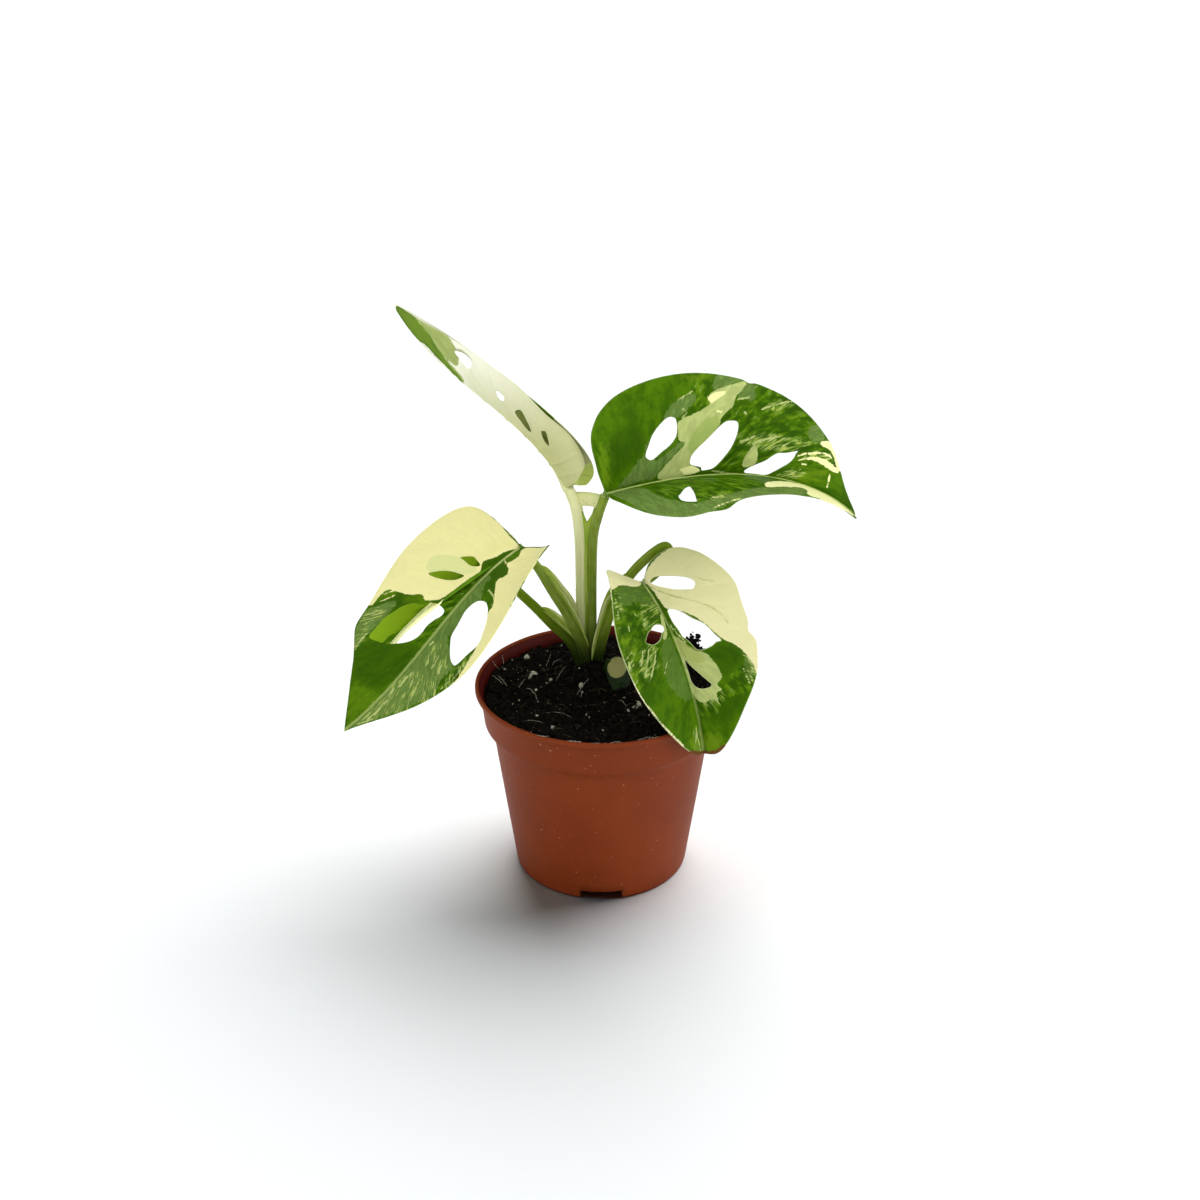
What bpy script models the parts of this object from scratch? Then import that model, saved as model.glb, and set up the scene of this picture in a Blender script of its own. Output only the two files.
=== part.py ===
"""Potted variegated monstera adansonii, modelled in metres with +Z up.

The pot stands on the XY plane with its axis on Z. The front of the plant faces -Y.
Every dimension below is in millimetres and is multiplied by MM where a mesh is made.
"""
import math
import random

import bmesh
import bpy
import numpy as np
from mathutils.geometry import delaunay_2d_cdt

MM = 0.001

# Pot: a thin plastic nursery pot, 12 cm across its lip
POT_HEIGHT = 96.0
LIP_RADIUS = 60.0
COLLAR_TOP_RADIUS = 57.5
COLLAR_BOTTOM_RADIUS = 56.0
COLLAR_BOTTOM_Z = 77.5
BODY_TOP_RADIUS = 52.1
BASE_RADIUS = 42.2
WALL = 1.4
FLOOR_UNDERSIDE = 3.0
FLOOR = 4.6
FOOT_RADIUS = 38.4
CENTRE_FOOT_RADIUS = 7.0
POT_SEGMENTS = 60
DRAIN_COUNT = 6
DRAIN_RADIUS = 3.5
DRAIN_CIRCLE = 33.0
NOTCH_COUNT = 3
NOTCH_WIDTH = 20.0
NOTCH_HEIGHT = 3.2

# Inner wall of the pot, from the floor up: (height, radius)
INNER_WALL = [
    (FLOOR + 1.0, BASE_RADIUS - .9),
    (73.4, BODY_TOP_RADIUS - WALL),
    (76.4, BODY_TOP_RADIUS - .2),
    (78.6, COLLAR_BOTTOM_RADIUS - WALL),
    (92.6, COLLAR_TOP_RADIUS - WALL),
]

# Soil: fills the pot to about 9 mm under the lip
SOIL_LEVEL = 86.5
SOIL_RINGS = 13
SOIL_SEGMENTS = 44
CLEARANCE = 0.3

# Blades
BLADE_THICKNESS = 0.7
MIDRIB_RIDGE = 1.1
MIDRIB_RIDGE_WIDTH = 1.6
VEIN_SWEEP = 2.4
MARGIN_STEPS = 32
MIDRIB_STEPS = 18
HOLE_STEPS = 18
INNER_COLUMNS = 14

# Stems
CROWN_FOOT = (-5.0, 14.5)
STUB_FOOT = (8.5, 3.0)
ROOTSTOCK_RADIUS = 7.0
ROOTSTOCK_BOTTOM = 68.0
ROOTSTOCK_TOP = 86.0
PETIOLE_SIDES = 10

# Half outlines: (distance along the midrib, distance from it), both as fractions
PLAIN_OUTLINE = [(0, 0), (-.03, .27), (-.02, .66), (.10, .94), (.31, 1), (.57, .84), (.78, .51), (.93, .19), (1, 0)]

# Each blade: base point, length, then heading, pitch, roll, fold and curl at base, middle and tip, in degrees.
# Heading 0 points along +X and 90 along +Y. Rows: lines of inner points in each half.
# Holes: side, along, across, half length, half width, slant.
LEAVES = {
    "leaf_a": dict(
        rows=3, base=(2, 1, 190.5), length=152, heading=(41, 25, 26), pitch=(-2, -11, -46), roll=(-32, -32, -35),
        fold={"R": (43, 47, 20), "L": (56, 58, 30)}, curl={"R": (-32, -19, -16), "L": (-27, -22, -23)},
        width={"R": 46, "L": 48},
        outline={"R": [(0, 0), (-.03, .26), (-.01, .65), (.11, .97), (.31, .99), (.56, .84), (.78, .49), (.94, .21),
                       (1, 0)],
                 "L": [(0, 0), (-.03, .28), (-.03, .63), (.09, .92), (.32, 1.02), (.59, .84), (.78, .53), (.91, .16),
                       (1, 0)]},
        holes=[("L", 32, 20.5, 11.5, 5.2, 44), ("L", 60, 15.5, 15.5, 6.2, 47), ("L", 92.5, 8.6, 13.5, 4, 28),
               ("R", 26, 29, 8, 5.2, 112)]),
    "leaf_b": dict(
        rows=5, base=(-15, 4, 193), length=113, heading=(179, 181, 181), pitch=(66, 41, 64), roll=(0, 0, 0),
        fold={"R": (42, 30, 40), "L": (25, 25, 45)}, curl={"R": (70, 112, 50), "L": (120, 118, 45)},
        width={"R": 14.5, "L": 17},
        outline={"R": [(0, 0), (-.01, .25), (-.03, .65), (.05, 1.1), (.33, 1.2), (.52, 1.02), (.77, .74), (.93, .33),
                       (1, 0)],
                 "L": [(0, 0), (.012, .25), (.035, .6), (.08, .93), (.22, 1.04), (.5, .96), (.77, .76), (.93, .35),
                       (1, 0)]},
        holes=[("L", 24.5, 6.4, 3.5, 1.4, 16), ("L", 36.3, 5.6, 6.3, 2.1, 12), ("L", 51, 6.4, 3, 1.2, 16),
               ("L", 74, 7.6, 5.8, 2.3, 14), ("R", 51, 5.6, 4, 2.2, 10), ("R", 74, 6.6, 6, 2.6, 10)]),
    "leaf_c": dict(
        rows=3, base=(-36.5, -5.5, 167.5), length=117, heading=(224, 225, 223), pitch=(-12, -34, -18),
        roll=(8, 8, 12), fold={"R": (8, 6, 10), "L": (13, 4, 1)}, curl={"R": (7, -15, -10), "L": (52, 22, -1)},
        width={"R": 43.5, "L": 36.5},
        outline={"R": [(0, 0), (-.02, .23), (-.02, .7), (.08, .92), (.31, 1.01), (.6, .85), (.77, .52), (.92, .19),
                       (1, 0)],
                 "L": [(0, 0), (-.02, .27), (0, .64), (.11, .92), (.33, 1.02), (.58, .85), (.77, .5), (.91, .17),
                       (1, 0)]},
        holes=[("R", 31.5, 15.5, 8.6, 2.2, 66), ("R", 20.3, 12, 5.2, 1.6, 78), ("R", 60.5, 16, 17.5, 9, 38),
               ("L", 51, 17.8, 17, 8.8, 24)]),
    "leaf_d": dict(
        rows=3, base=(19, -8.5, 151), length=85, heading=(-50, -55, -51), pitch=(-32, -56, -80), roll=(1, -9, -20),
        fold={"R": (22, 29, 27), "L": (25, 24, 37)}, curl={"R": (17, -9, -24), "L": (-14, -36, -31)},
        width={"R": 41, "L": 40},
        outline={"R": [(0, 0), (-.04, .28), (-.06, .67), (.12, .92), (.31, 1.01), (.55, .83), (.79, .51), (.96, .19),
                       (1, 0)],
                 "L": [(0, 0), (-.09, .24), (-.08, .63), (.15, .98), (.32, .95), (.6, .84), (.8, .52), (.98, .21),
                       (1, 0)]},
        holes=[("L", 6.8, 12.2, 10.3, 3.2, 60), ("L", 30.5, 10.8, 12.8, 5.5, 41), ("L", 50.3, 5.8, 7.2, 2.4, 34),
               ("R", 27, 12.3, 8, 2.8, 72)]),
    "leaf_e": dict(
        rows=2, base=(-51, 10, 154), length=80, heading=(208, 214, 218), pitch=(-18, -32, -42), roll=(8, 8, 8),
        fold={"R": (14, 12, 12), "L": (45, 50, 50)}, curl={"R": (-20, -20, -20), "L": (-20, -20, -20)},
        width={"R": 27, "L": 23}, outline={"R": PLAIN_OUTLINE, "L": PLAIN_OUTLINE},
        holes=[("L", 36, 11, 8, 3.4, 45)]),
}

# Leaf stalks: points from the crown to just short of the blade, each with its radius
PETIOLES = {
    "a": [(-5, 15, 92, 3.4), (-4.9, 15, 108, 2.8), (-4.8, 14, 128, 2.6), (-4.7, 12, 148, 2.6), (-4.1, 9, 167, 2.7),
          (-1.5, 4.5, 180, 2.1), (1.5, 1.3, 189.3, 1.6)],
    "b": [(-6, 15, 92, 3.4), (-9.2, 15.5, 108, 2.8), (-9.6, 14, 128, 2.5), (-9.7, 12, 148, 2.4), (-9.9, 9, 166, 2.6),
          (-11.1, 6, 181, 2.3), (-14.7, 4.1, 192.1, 1.6)],
    "c": [(-6, 14, 92, 3.4), (-8.5, 13, 107, 2.9), (-16, 8, 127, 2.5), (-22.5, 3, 141, 2.3), (-29, -3, 156, 2.1),
          (-35.6, -6, 166.2, 1.6)],
    "d": [(-4, 14.5, 92, 3.4), (-1, 13.5, 106, 2.9), (5.1, 11.5, 129.8, 2.5), (9.8, 10.5, 139.5, 2.3),
          (14, 10, 147, 2.3), (19.6, 10, 153.6, 2.3), (25.5, 10.5, 158.8, 2.2), (29.8, 11, 160.8, 2.1),
          (31.6, 10, 158.6, 2.0), (29.6, 6, 154.4, 1.9), (24.6, 0, 150.8, 1.8), (19.3, -6.6, 149.5, 1.5)],
    "e": [(-7, 15, 92, 3.4), (-14, 17, 107.5, 2.9), (-24, 18, 117.5, 2.5), (-32, 17, 127, 2.3), (-40, 14, 137, 2.2),
          (-46.5, 11.3, 147, 2.0), (-50.4, 10.1, 152.8, 1.6)],
}

# Thin pale sheath wings along a stalk: stalk, start and end along it, greatest width, direction they lean to
WINGS = [
    ("c", .18, .80, 4.4, (.75, .1, .65)),
    ("e", .12, .46, 3.6, (.55, .1, .85)),
    ("d", .05, .36, 3.6, (-.8, -.2, .5)),
]

COLOURS = {
    "pot": ((.46, .13, .055, 1), .55),
    "soil": ((.018, .014, .011, 1), .95),
    "stems": ((.32, .42, .10, 1), .45),
    "leaf_a": ((.09, .20, .03, 1), .42),
    "leaf_b": ((.72, .74, .42, 1), .42),
    "leaf_c": ((.42, .50, .20, 1), .42),
    "leaf_d": ((.30, .40, .14, 1), .42),
    "leaf_e": ((.22, .32, .05, 1), .42),
}


def clear_scene():
    for item in list(bpy.data.objects):
        bpy.data.objects.remove(item, do_unlink=True)


def make_material(name):
    colour, roughness = COLOURS[name]
    material = bpy.data.materials.new(name)
    material.use_nodes = True
    shader = material.node_tree.nodes["Principled BSDF"]
    shader.inputs["Base Color"].default_value = colour
    shader.inputs["Roughness"].default_value = roughness
    shader.inputs["Metallic"].default_value = 0.0
    return material


def make_object(name, points, faces, smooth=True):
    """A mesh object from points in millimetres; faces are turned outwards."""
    mesh = bpy.data.meshes.new(name)
    mesh.from_pydata([tuple(c * MM for c in p) for p in points], [], [tuple(f) for f in faces])
    build = bmesh.new()
    build.from_mesh(mesh)
    bmesh.ops.recalc_face_normals(build, faces=build.faces)
    build.to_mesh(mesh)
    build.free()
    mesh.polygons.foreach_set("use_smooth", [smooth] * len(mesh.polygons))
    item = bpy.data.objects.new(name, mesh)
    bpy.context.collection.objects.link(item)
    return item


def finish(item, name):
    item.name = name
    item.data.name = name
    item.data.materials.clear()
    item.data.materials.append(make_material(name))
    return item


def combine(target, others, operation, solver="EXACT"):
    """Union or difference of a target with a list of objects, applied, with the others removed."""
    group = bpy.data.collections.new("combine")
    bpy.context.scene.collection.children.link(group)
    for other in others:
        for owner in list(other.users_collection):
            owner.objects.unlink(other)
        group.objects.link(other)
    modifier = target.modifiers.new("combine", "BOOLEAN")
    modifier.operation = operation
    modifier.solver = solver
    modifier.operand_type = "COLLECTION"
    modifier.collection = group
    graph = bpy.context.evaluated_depsgraph_get()
    mesh = bpy.data.meshes.new_from_object(target.evaluated_get(graph))
    target.modifiers.clear()
    target.data = mesh
    for other in others:
        bpy.data.objects.remove(other, do_unlink=True)
    bpy.data.collections.remove(group)
    return target


def turned(profile, segments, name):
    """A closed ring of quads from a profile of (radius, height); points at radius 0 become one vertex."""
    points, rows = [], []
    for radius, height in profile:
        if radius == 0:
            rows.append([len(points)] * segments)
            points.append((0, 0, height))
            continue
        rows.append(list(range(len(points), len(points) + segments)))
        for i in range(segments):
            angle = 2 * math.pi * i / segments
            points.append((radius * math.cos(angle), radius * math.sin(angle), height))
    faces = []
    for low, high in zip(rows, rows[1:]):
        for i in range(segments):
            j = (i + 1) % segments
            corners = []
            for corner in (low[i], low[j], high[j], high[i]):
                if corner not in corners:
                    corners.append(corner)
            faces.append(corners)
    return make_object(name, points, faces)


def inner_wall_radius(height):
    """Inner radius of the pot at a height."""
    heights, radii = zip(*INNER_WALL)
    return float(np.interp(height, heights, radii))


def build_pot():
    """The pot: tapered body, stepped collar, out-turned lip, raised floor with drain holes and a centre foot, notched foot ring."""
    profile = [
        (0, 0), (CENTRE_FOOT_RADIUS, 0), (CENTRE_FOOT_RADIUS + .8, FLOOR_UNDERSIDE),
        (FOOT_RADIUS, FLOOR_UNDERSIDE), (FOOT_RADIUS + .4, 0), (BASE_RADIUS - 1.4, 0),
        (BASE_RADIUS - .5, .5), (BASE_RADIUS, 1.8),
        (BODY_TOP_RADIUS - .4, 71.0), (BODY_TOP_RADIUS, 74.0), (BODY_TOP_RADIUS + 1.1, 76.2),
        (COLLAR_BOTTOM_RADIUS - .9, COLLAR_BOTTOM_Z - .5), (COLLAR_BOTTOM_RADIUS, COLLAR_BOTTOM_Z + .6),
        (COLLAR_TOP_RADIUS, 92.4), (COLLAR_TOP_RADIUS + .5, 93.2), (LIP_RADIUS - .6, 93.3),
        (LIP_RADIUS, 93.9), (LIP_RADIUS, 95.2), (LIP_RADIUS - .7, POT_HEIGHT),
        (LIP_RADIUS - 1.9, POT_HEIGHT), (LIP_RADIUS - 3.0, 95.2),
    ]
    profile += [(radius, height) for height, radius in reversed(INNER_WALL)]
    profile += [(BASE_RADIUS - 2.1, FLOOR), (0, FLOOR)]
    pot = turned(profile, POT_SEGMENTS, "pot")
    cutters = []
    for i in range(DRAIN_COUNT):
        angle = math.radians(-90 + 360 / DRAIN_COUNT * i)
        drain = turned([(0, -2), (DRAIN_RADIUS, -2), (DRAIN_RADIUS, FLOOR + 2), (0, FLOOR + 2)], 16, "drain")
        drain.location = (DRAIN_CIRCLE * MM * math.cos(angle), DRAIN_CIRCLE * MM * math.sin(angle), 0)
        cutters.append(drain)
    for i in range(NOTCH_COUNT):
        angle = math.radians(-90 + 360 / NOTCH_COUNT * i)
        half = NOTCH_WIDTH / 2
        arch = [(-half, -1), (half, -1), (half - .6, NOTCH_HEIGHT - .9), (half - 2, NOTCH_HEIGHT),
                (2 - half, NOTCH_HEIGHT), (.6 - half, NOTCH_HEIGHT - .9)]
        inner, outer = FOOT_RADIUS - 3, BASE_RADIUS + 6
        sides = [(inner, y, z) for y, z in arch] + [(outer, y, z) for y, z in arch]
        count = len(arch)
        faces = [tuple(range(count)), tuple(range(2 * count - 1, count - 1, -1))]
        faces += [(k, (k + 1) % count, (k + 1) % count + count, k + count) for k in range(count)]
        notch = make_object("notch", sides, faces, smooth=False)
        notch.rotation_euler = (0, 0, angle)
        cutters.append(notch)
    bpy.context.view_layer.update()
    combine(pot, cutters, "DIFFERENCE")
    return finish(pot, "pot")


def soil_height(x, y, lumps):
    """Height of the soil: a gentle dome, seeded lumps and a small ripple."""
    rim = math.hypot(x, y) / 56.0
    height = SOIL_LEVEL - 1.2 * rim ** 4
    height += .55 * math.sin(.31 * x + 1.3) * math.cos(.27 * y) + .35 * math.sin(.63 * x - .5 * y)
    for cx, cy, size, tall in lumps:
        height += tall * math.exp(-((x - cx) ** 2 + (y - cy) ** 2) / size ** 2)
    return height


def build_soil():
    """The soil: a filling that follows the pot's wall, with a lumpy top and a plain hole for the rootstock."""
    draw = random.Random(5)
    lumps = []
    for _ in range(60):
        radius = 52 * math.sqrt(draw.random())
        angle = draw.uniform(0, 2 * math.pi)
        size, tall = draw.uniform(2.5, 6), draw.uniform(-.6, 1.3)
        lumps.append((radius * math.cos(angle), radius * math.sin(angle), size, tall))
    top_radius = inner_wall_radius(SOIL_LEVEL) - 2 * CLEARANCE
    points, rows = [], []
    for ring in range(1, SOIL_RINGS + 1):
        radius = top_radius * ring / SOIL_RINGS
        rows.append(list(range(len(points), len(points) + SOIL_SEGMENTS)))
        for i in range(SOIL_SEGMENTS):
            angle = 2 * math.pi * i / SOIL_SEGMENTS
            x, y = radius * math.cos(angle), radius * math.sin(angle)
            points.append((x, y, soil_height(x, y, lumps)))
    low = FLOOR + CLEARANCE + .1
    for height in (79.0, 76.4, 73.4, 40.0, low + 1.4, low):
        inset = 2 * CLEARANCE if height > low else 2 * CLEARANCE + 1.4
        radius = inner_wall_radius(height) - inset
        rows.append(list(range(len(points), len(points) + SOIL_SEGMENTS)))
        for i in range(SOIL_SEGMENTS):
            angle = 2 * math.pi * i / SOIL_SEGMENTS
            points.append((radius * math.cos(angle), radius * math.sin(angle), height))
    faces = []
    for inner, outer in zip(rows, rows[1:]):
        faces += [(inner[i], inner[(i + 1) % SOIL_SEGMENTS], outer[(i + 1) % SOIL_SEGMENTS], outer[i])
                  for i in range(SOIL_SEGMENTS)]
    centre = len(points)
    points.append((0, 0, soil_height(0, 0, lumps)))
    faces += [(rows[0][i], rows[0][(i + 1) % SOIL_SEGMENTS], centre) for i in range(SOIL_SEGMENTS)]
    bottom = len(points)
    points.append((0, 0, low))
    faces += [(rows[-1][i], rows[-1][(i + 1) % SOIL_SEGMENTS], bottom) for i in range(SOIL_SEGMENTS)]
    soil = make_object("soil", points, faces)
    hole = stadium("hole", ROOTSTOCK_RADIUS + CLEARANCE, ROOTSTOCK_BOTTOM - CLEARANCE, SOIL_LEVEL + 8)
    combine(soil, [hole], "DIFFERENCE")
    return finish(soil, "soil")


def stadium(name, radius, low, high):
    """An upright plug with round ends that spans the crown and the cut stem."""
    (ax, ay), (bx, by) = CROWN_FOOT, STUB_FOOT
    along = math.atan2(by - ay, bx - ax)
    ring = []
    for cx, cy, turn in ((bx, by, -90), (ax, ay, 90)):
        for i in range(13):
            angle = along + math.radians(turn + 15 * i)
            ring.append((cx + radius * math.cos(angle), cy + radius * math.sin(angle)))
    count = len(ring)
    points = [(x, y, low) for x, y in ring] + [(x, y, high) for x, y in ring]
    faces = [tuple(range(count)), tuple(range(2 * count - 1, count - 1, -1))]
    faces += [(k, (k + 1) % count, (k + 1) % count + count, k + count) for k in range(count)]
    return make_object(name, points, faces, smooth=False)


def smooth_path(controls, where):
    """Catmull-Rom curve through control rows, read at parameters from 0 to 1."""
    rows = np.array(controls, float)
    last = len(rows) - 1
    padded = np.vstack([2 * rows[0] - rows[1], rows, 2 * rows[-1] - rows[-2]])
    place = np.clip(np.asarray(where, float), 0, 1) * last
    index = np.minimum(place.astype(int), last - 1)
    t = (place - index)[..., None]
    a, b, c, d = padded[index], padded[index + 1], padded[index + 2], padded[index + 3]
    return .5 * (2 * b + (c - a) * t + (2 * a - 5 * b + 4 * c - d) * t ** 2 + (3 * b - a - 3 * c + d) * t ** 3)


def tube(name, controls, rings, sides=PETIOLE_SIDES):
    """A round tube along a smooth path of (x, y, z, radius), closed by a small dome at each end."""
    path = smooth_path(controls, np.linspace(0, 1, rings))
    centre, radius = path[:, :3], path[:, 3]
    tangent = np.gradient(centre, axis=0)
    tangent /= np.linalg.norm(tangent, axis=1)[:, None]
    side = np.cross(tangent[0], (0, 1, 0))
    points, rows = [], []
    for k in range(rings):
        side = side - tangent[k] * side.dot(tangent[k])
        side /= np.linalg.norm(side)
        other = np.cross(tangent[k], side)
        rows.append(list(range(len(points), len(points) + sides)))
        for i in range(sides):
            angle = 2 * math.pi * i / sides
            points.append(tuple(centre[k] + radius[k] * (math.cos(angle) * side + math.sin(angle) * other)))
    faces = []
    for low, high in zip(rows, rows[1:]):
        faces += [(low[i], low[(i + 1) % sides], high[(i + 1) % sides], high[i]) for i in range(sides)]
    for row, k, sign in ((rows[0], 0, -1), (rows[-1], rings - 1, 1)):
        tip = len(points)
        points.append(tuple(centre[k] + sign * .35 * radius[k] * tangent[k]))
        faces += [(row[i], row[(i + 1) % sides], tip) for i in range(sides)]
    return make_object(name, points, faces)


def sheet(name, grid, thickness):
    """A closed thin solid around a grid of points, moved both ways along its normals, with side walls."""
    along = np.gradient(grid, axis=0)
    across = np.gradient(grid, axis=1)
    normal = np.cross(along, across)
    normal /= np.linalg.norm(normal, axis=2)[..., None]
    rows, columns = grid.shape[:2]
    half = normal * thickness / 2
    points = np.concatenate([(grid + half).reshape(-1, 3), (grid - half).reshape(-1, 3)])
    count = rows * columns

    def at(i, j, layer):
        return i * columns + j + layer * count

    faces = []
    for i in range(rows - 1):
        for j in range(columns - 1):
            for layer in (0, 1):
                a, b, c, d = at(i, j, layer), at(i + 1, j, layer), at(i + 1, j + 1, layer), at(i, j + 1, layer)
                faces += [(a, b, c), (a, c, d)]
    border = [(i, 0) for i in range(rows)] + [(rows - 1, j) for j in range(1, columns)]
    border += [(i, columns - 1) for i in range(rows - 2, -1, -1)] + [(0, j) for j in range(columns - 2, 0, -1)]
    for (i, j), (k, m) in zip(border, border[1:] + border[:1]):
        faces.append((at(i, j, 0), at(k, m, 0), at(k, m, 1), at(i, j, 1)))
    return make_object(name, [tuple(p) for p in points], faces)


def wing(stalk, start, end, width, lean):
    """A pale sheath wing: a thin strip rooted in the stalk's middle, widest in the middle of its run."""
    where = np.linspace(start, end, 11)
    path = smooth_path(PETIOLES[stalk], where)
    tangent = np.gradient(path[:, :3], axis=0)
    tangent /= np.linalg.norm(tangent, axis=1)[:, None]
    lean = np.array(lean, float)
    out = lean - tangent * (tangent @ lean)[:, None]
    out /= np.linalg.norm(out, axis=1)[:, None]
    run = (where - start) / (end - start)
    reach = path[:, 3] * .7 + width * np.sin(math.pi * run) ** .6
    share = np.linspace(0, 1, 4)
    grid = path[:, None, :3] + out[:, None, :] * reach[:, None, None] * share[None, :, None]
    return sheet("wing", grid, .9)


def bridge():
    """The pale rim of the youngest sheath: a thin band from one upright stalk to the other."""
    ends = np.array([(-11.4, 5.2, 190.0), (-5.8, 3.0, 190.2), (-.4, 2.6, 188.2)])
    heights = np.linspace(0, 1, 4)
    share = np.linspace(0, 1, 7)
    top = smooth_path(ends, share)
    drop = np.array([(.2, .8, -8.0)])
    grid = top[:, None, :] + drop[None, :, :] * heights[None, :, None]
    grid[:, -1, 2] += 1.2 * (1 - (2 * share - 1) ** 2)
    return sheet("bridge", grid, 1.0)


def build_stems():
    """Rootstock, crown, cut stem end, five leaf stalks and their sheath wings, fused into one solid."""
    root = stadium("stems", ROOTSTOCK_RADIUS, ROOTSTOCK_BOTTOM, ROOTSTOCK_TOP)
    cx, cy = CROWN_FOOT
    crown = [(cx, cy, 76, 6.6), (cx, cy, 86, 6.8), (cx, cy + .3, 93, 6.2), (cx, cy + .5, 99, 4.6)]
    pieces = [tube("crown", crown, 7, 14)]
    sx, sy = STUB_FOOT
    stub = [(sx - .5, sy + 1, 76, 5.6), (sx, sy + .4, 90, 5.6), (sx - 1, sy + .2, 101.6, 4.9)]
    pieces.append(tube("stub", stub, 6, 16))
    pieces.append(tube("bud", [(0, 10, 84, 3.2), (2, 8, 95, 2.6), (3.6, 6.6, 103.5, 1.1)], 5, 8))
    for key, controls in PETIOLES.items():
        pieces.append(tube("stalk_" + key, controls, 3 * len(controls) - 1))
    pieces += [wing(*item) for item in WINGS]
    pieces.append(bridge())
    combine(root, pieces, "UNION")
    root.data.polygons.foreach_set("use_smooth", [True] * len(root.data.polygons))
    return finish(root, "stems")


def three(values, x):
    """Quadratic through values given at 0, 1/2 and 1."""
    a, b, c = values
    return a * (1 - x) * (1 - 2 * x) + b * 4 * x * (1 - x) + c * x * (2 * x - 1)


def blade_surface(leaf, x, y):
    """Points of the blade's middle surface. x runs along the midrib in mm, y across it, right side positive."""
    steps = 161
    u = np.linspace(0, 1, steps)
    heading, pitch, roll = (np.radians(three(leaf[k], u)) for k in ("heading", "pitch", "roll"))
    ahead = np.stack([np.cos(pitch) * np.cos(heading), np.cos(pitch) * np.sin(heading), np.sin(pitch)], 1)
    level = np.stack([ahead[:, 1], -ahead[:, 0], 0 * u], 1)
    level /= np.linalg.norm(level, axis=1)[:, None]
    above = np.cross(level, ahead)
    right = np.cos(roll)[:, None] * level + np.sin(roll)[:, None] * above
    up = np.cos(roll)[:, None] * above - np.sin(roll)[:, None] * level
    half_steps = (ahead[1:] + ahead[:-1]) / 2 * leaf["length"] / (steps - 1)
    rib = np.array(leaf["base"], float) + np.vstack([np.zeros(3), np.cumsum(half_steps, 0)])
    share = np.clip(x / leaf["length"], 0, 1)

    def read(rows):
        return np.stack([np.interp(share, u, rows[:, k]) for k in range(3)], -1)

    fold = np.where(y >= 0, three(leaf["fold"]["R"], share), three(leaf["fold"]["L"], share))
    curl_right = three(leaf["curl"]["R"], share) / leaf["width"]["R"]
    curl_left = three(leaf["curl"]["L"], share) / leaf["width"]["L"]
    fold = np.radians(fold)
    half_turn = np.radians(np.where(y >= 0, curl_right, curl_left)) * np.abs(y) / 2
    reach = np.abs(y) * np.sinc(half_turn / math.pi)
    outward = reach * np.cos(fold + half_turn) * np.sign(y)
    lift = reach * np.sin(fold + half_turn)
    across = outward[..., None] * read(right) + lift[..., None] * read(up)
    return read(rib) + np.minimum(x, 0)[..., None] * ahead[0] + across


def inside(point, ring):
    """Even-odd test of a point against a closed ring."""
    x, y = point
    hit = False
    for (ax, ay), (bx, by) in zip(ring, ring[1:] + ring[:1]):
        if (ay > y) != (by > y) and x < (bx - ax) * (y - ay) / (by - ay) + ax:
            hit = not hit
    return hit


def flat_blade(leaf):
    """Flat points and triangles of a blade: outline, midrib line, holes and a few inner points."""
    length = leaf["length"]
    share = np.linspace(0, 1, MARGIN_STEPS + 1)
    margin = {}
    for side, sign in (("R", 1), ("L", -1)):
        rows = smooth_path(leaf["outline"][side], share)
        margin[side] = [(px * length, sign * py * leaf["width"][side]) for px, py in rows]
    ring = margin["R"] + margin["L"][-2:0:-1]
    points = list(ring)
    edges = [(i, (i + 1) % len(ring)) for i in range(len(ring))]
    first = len(points)
    points += [(length * k / MIDRIB_STEPS, 0) for k in range(1, MIDRIB_STEPS)]
    chain = [0] + list(range(first, len(points))) + [MARGIN_STEPS]
    edges += list(zip(chain, chain[1:]))
    holes = []
    for side, along, across, half_length, half_width, slant in leaf["holes"]:
        sign = 1 if side == "R" else -1
        c, s = math.cos(math.radians(slant)), math.sin(math.radians(slant))
        hole = []
        for k in range(HOLE_STEPS):
            angle = 2 * math.pi * k / HOLE_STEPS
            a, b = half_length * math.cos(angle), half_width * math.sin(angle)
            hole.append((along + a * c - b * s, sign * (across + a * s + b * c)))
        first = len(points)
        points += hole
        edges += [(first + k, first + (k + 1) % HOLE_STEPS) for k in range(HOLE_STEPS)]
        holes.append(hole)
    for side, sign in (("R", 1), ("L", -1)):
        for x in np.linspace(.04, .9, INNER_COLUMNS):
            edge = smooth_path(leaf["outline"][side], [x ** (1 / VEIN_SWEEP)])[0]
            for t in np.arange(1, leaf["rows"] + 1) / (leaf["rows"] + 1):
                spot = ((x + (edge[0] - x) * t) * length, sign * edge[1] * t * leaf["width"][side])
                if all(min(math.dist(spot, q) for q in hole) > 2.2 and not inside(spot, hole) for hole in holes):
                    points.append(spot)
    found = delaunay_2d_cdt(points, edges, [], 0, 1e-6)
    flat = [tuple(p) for p in found[0]]
    triangles = []
    for face in found[2]:
        middle = (sum(flat[i][0] for i in face) / 3, sum(flat[i][1] for i in face) / 3)
        if inside(middle, ring) and not any(inside(middle, hole) for hole in holes):
            triangles.append(tuple(face))
    return flat, triangles


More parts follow.
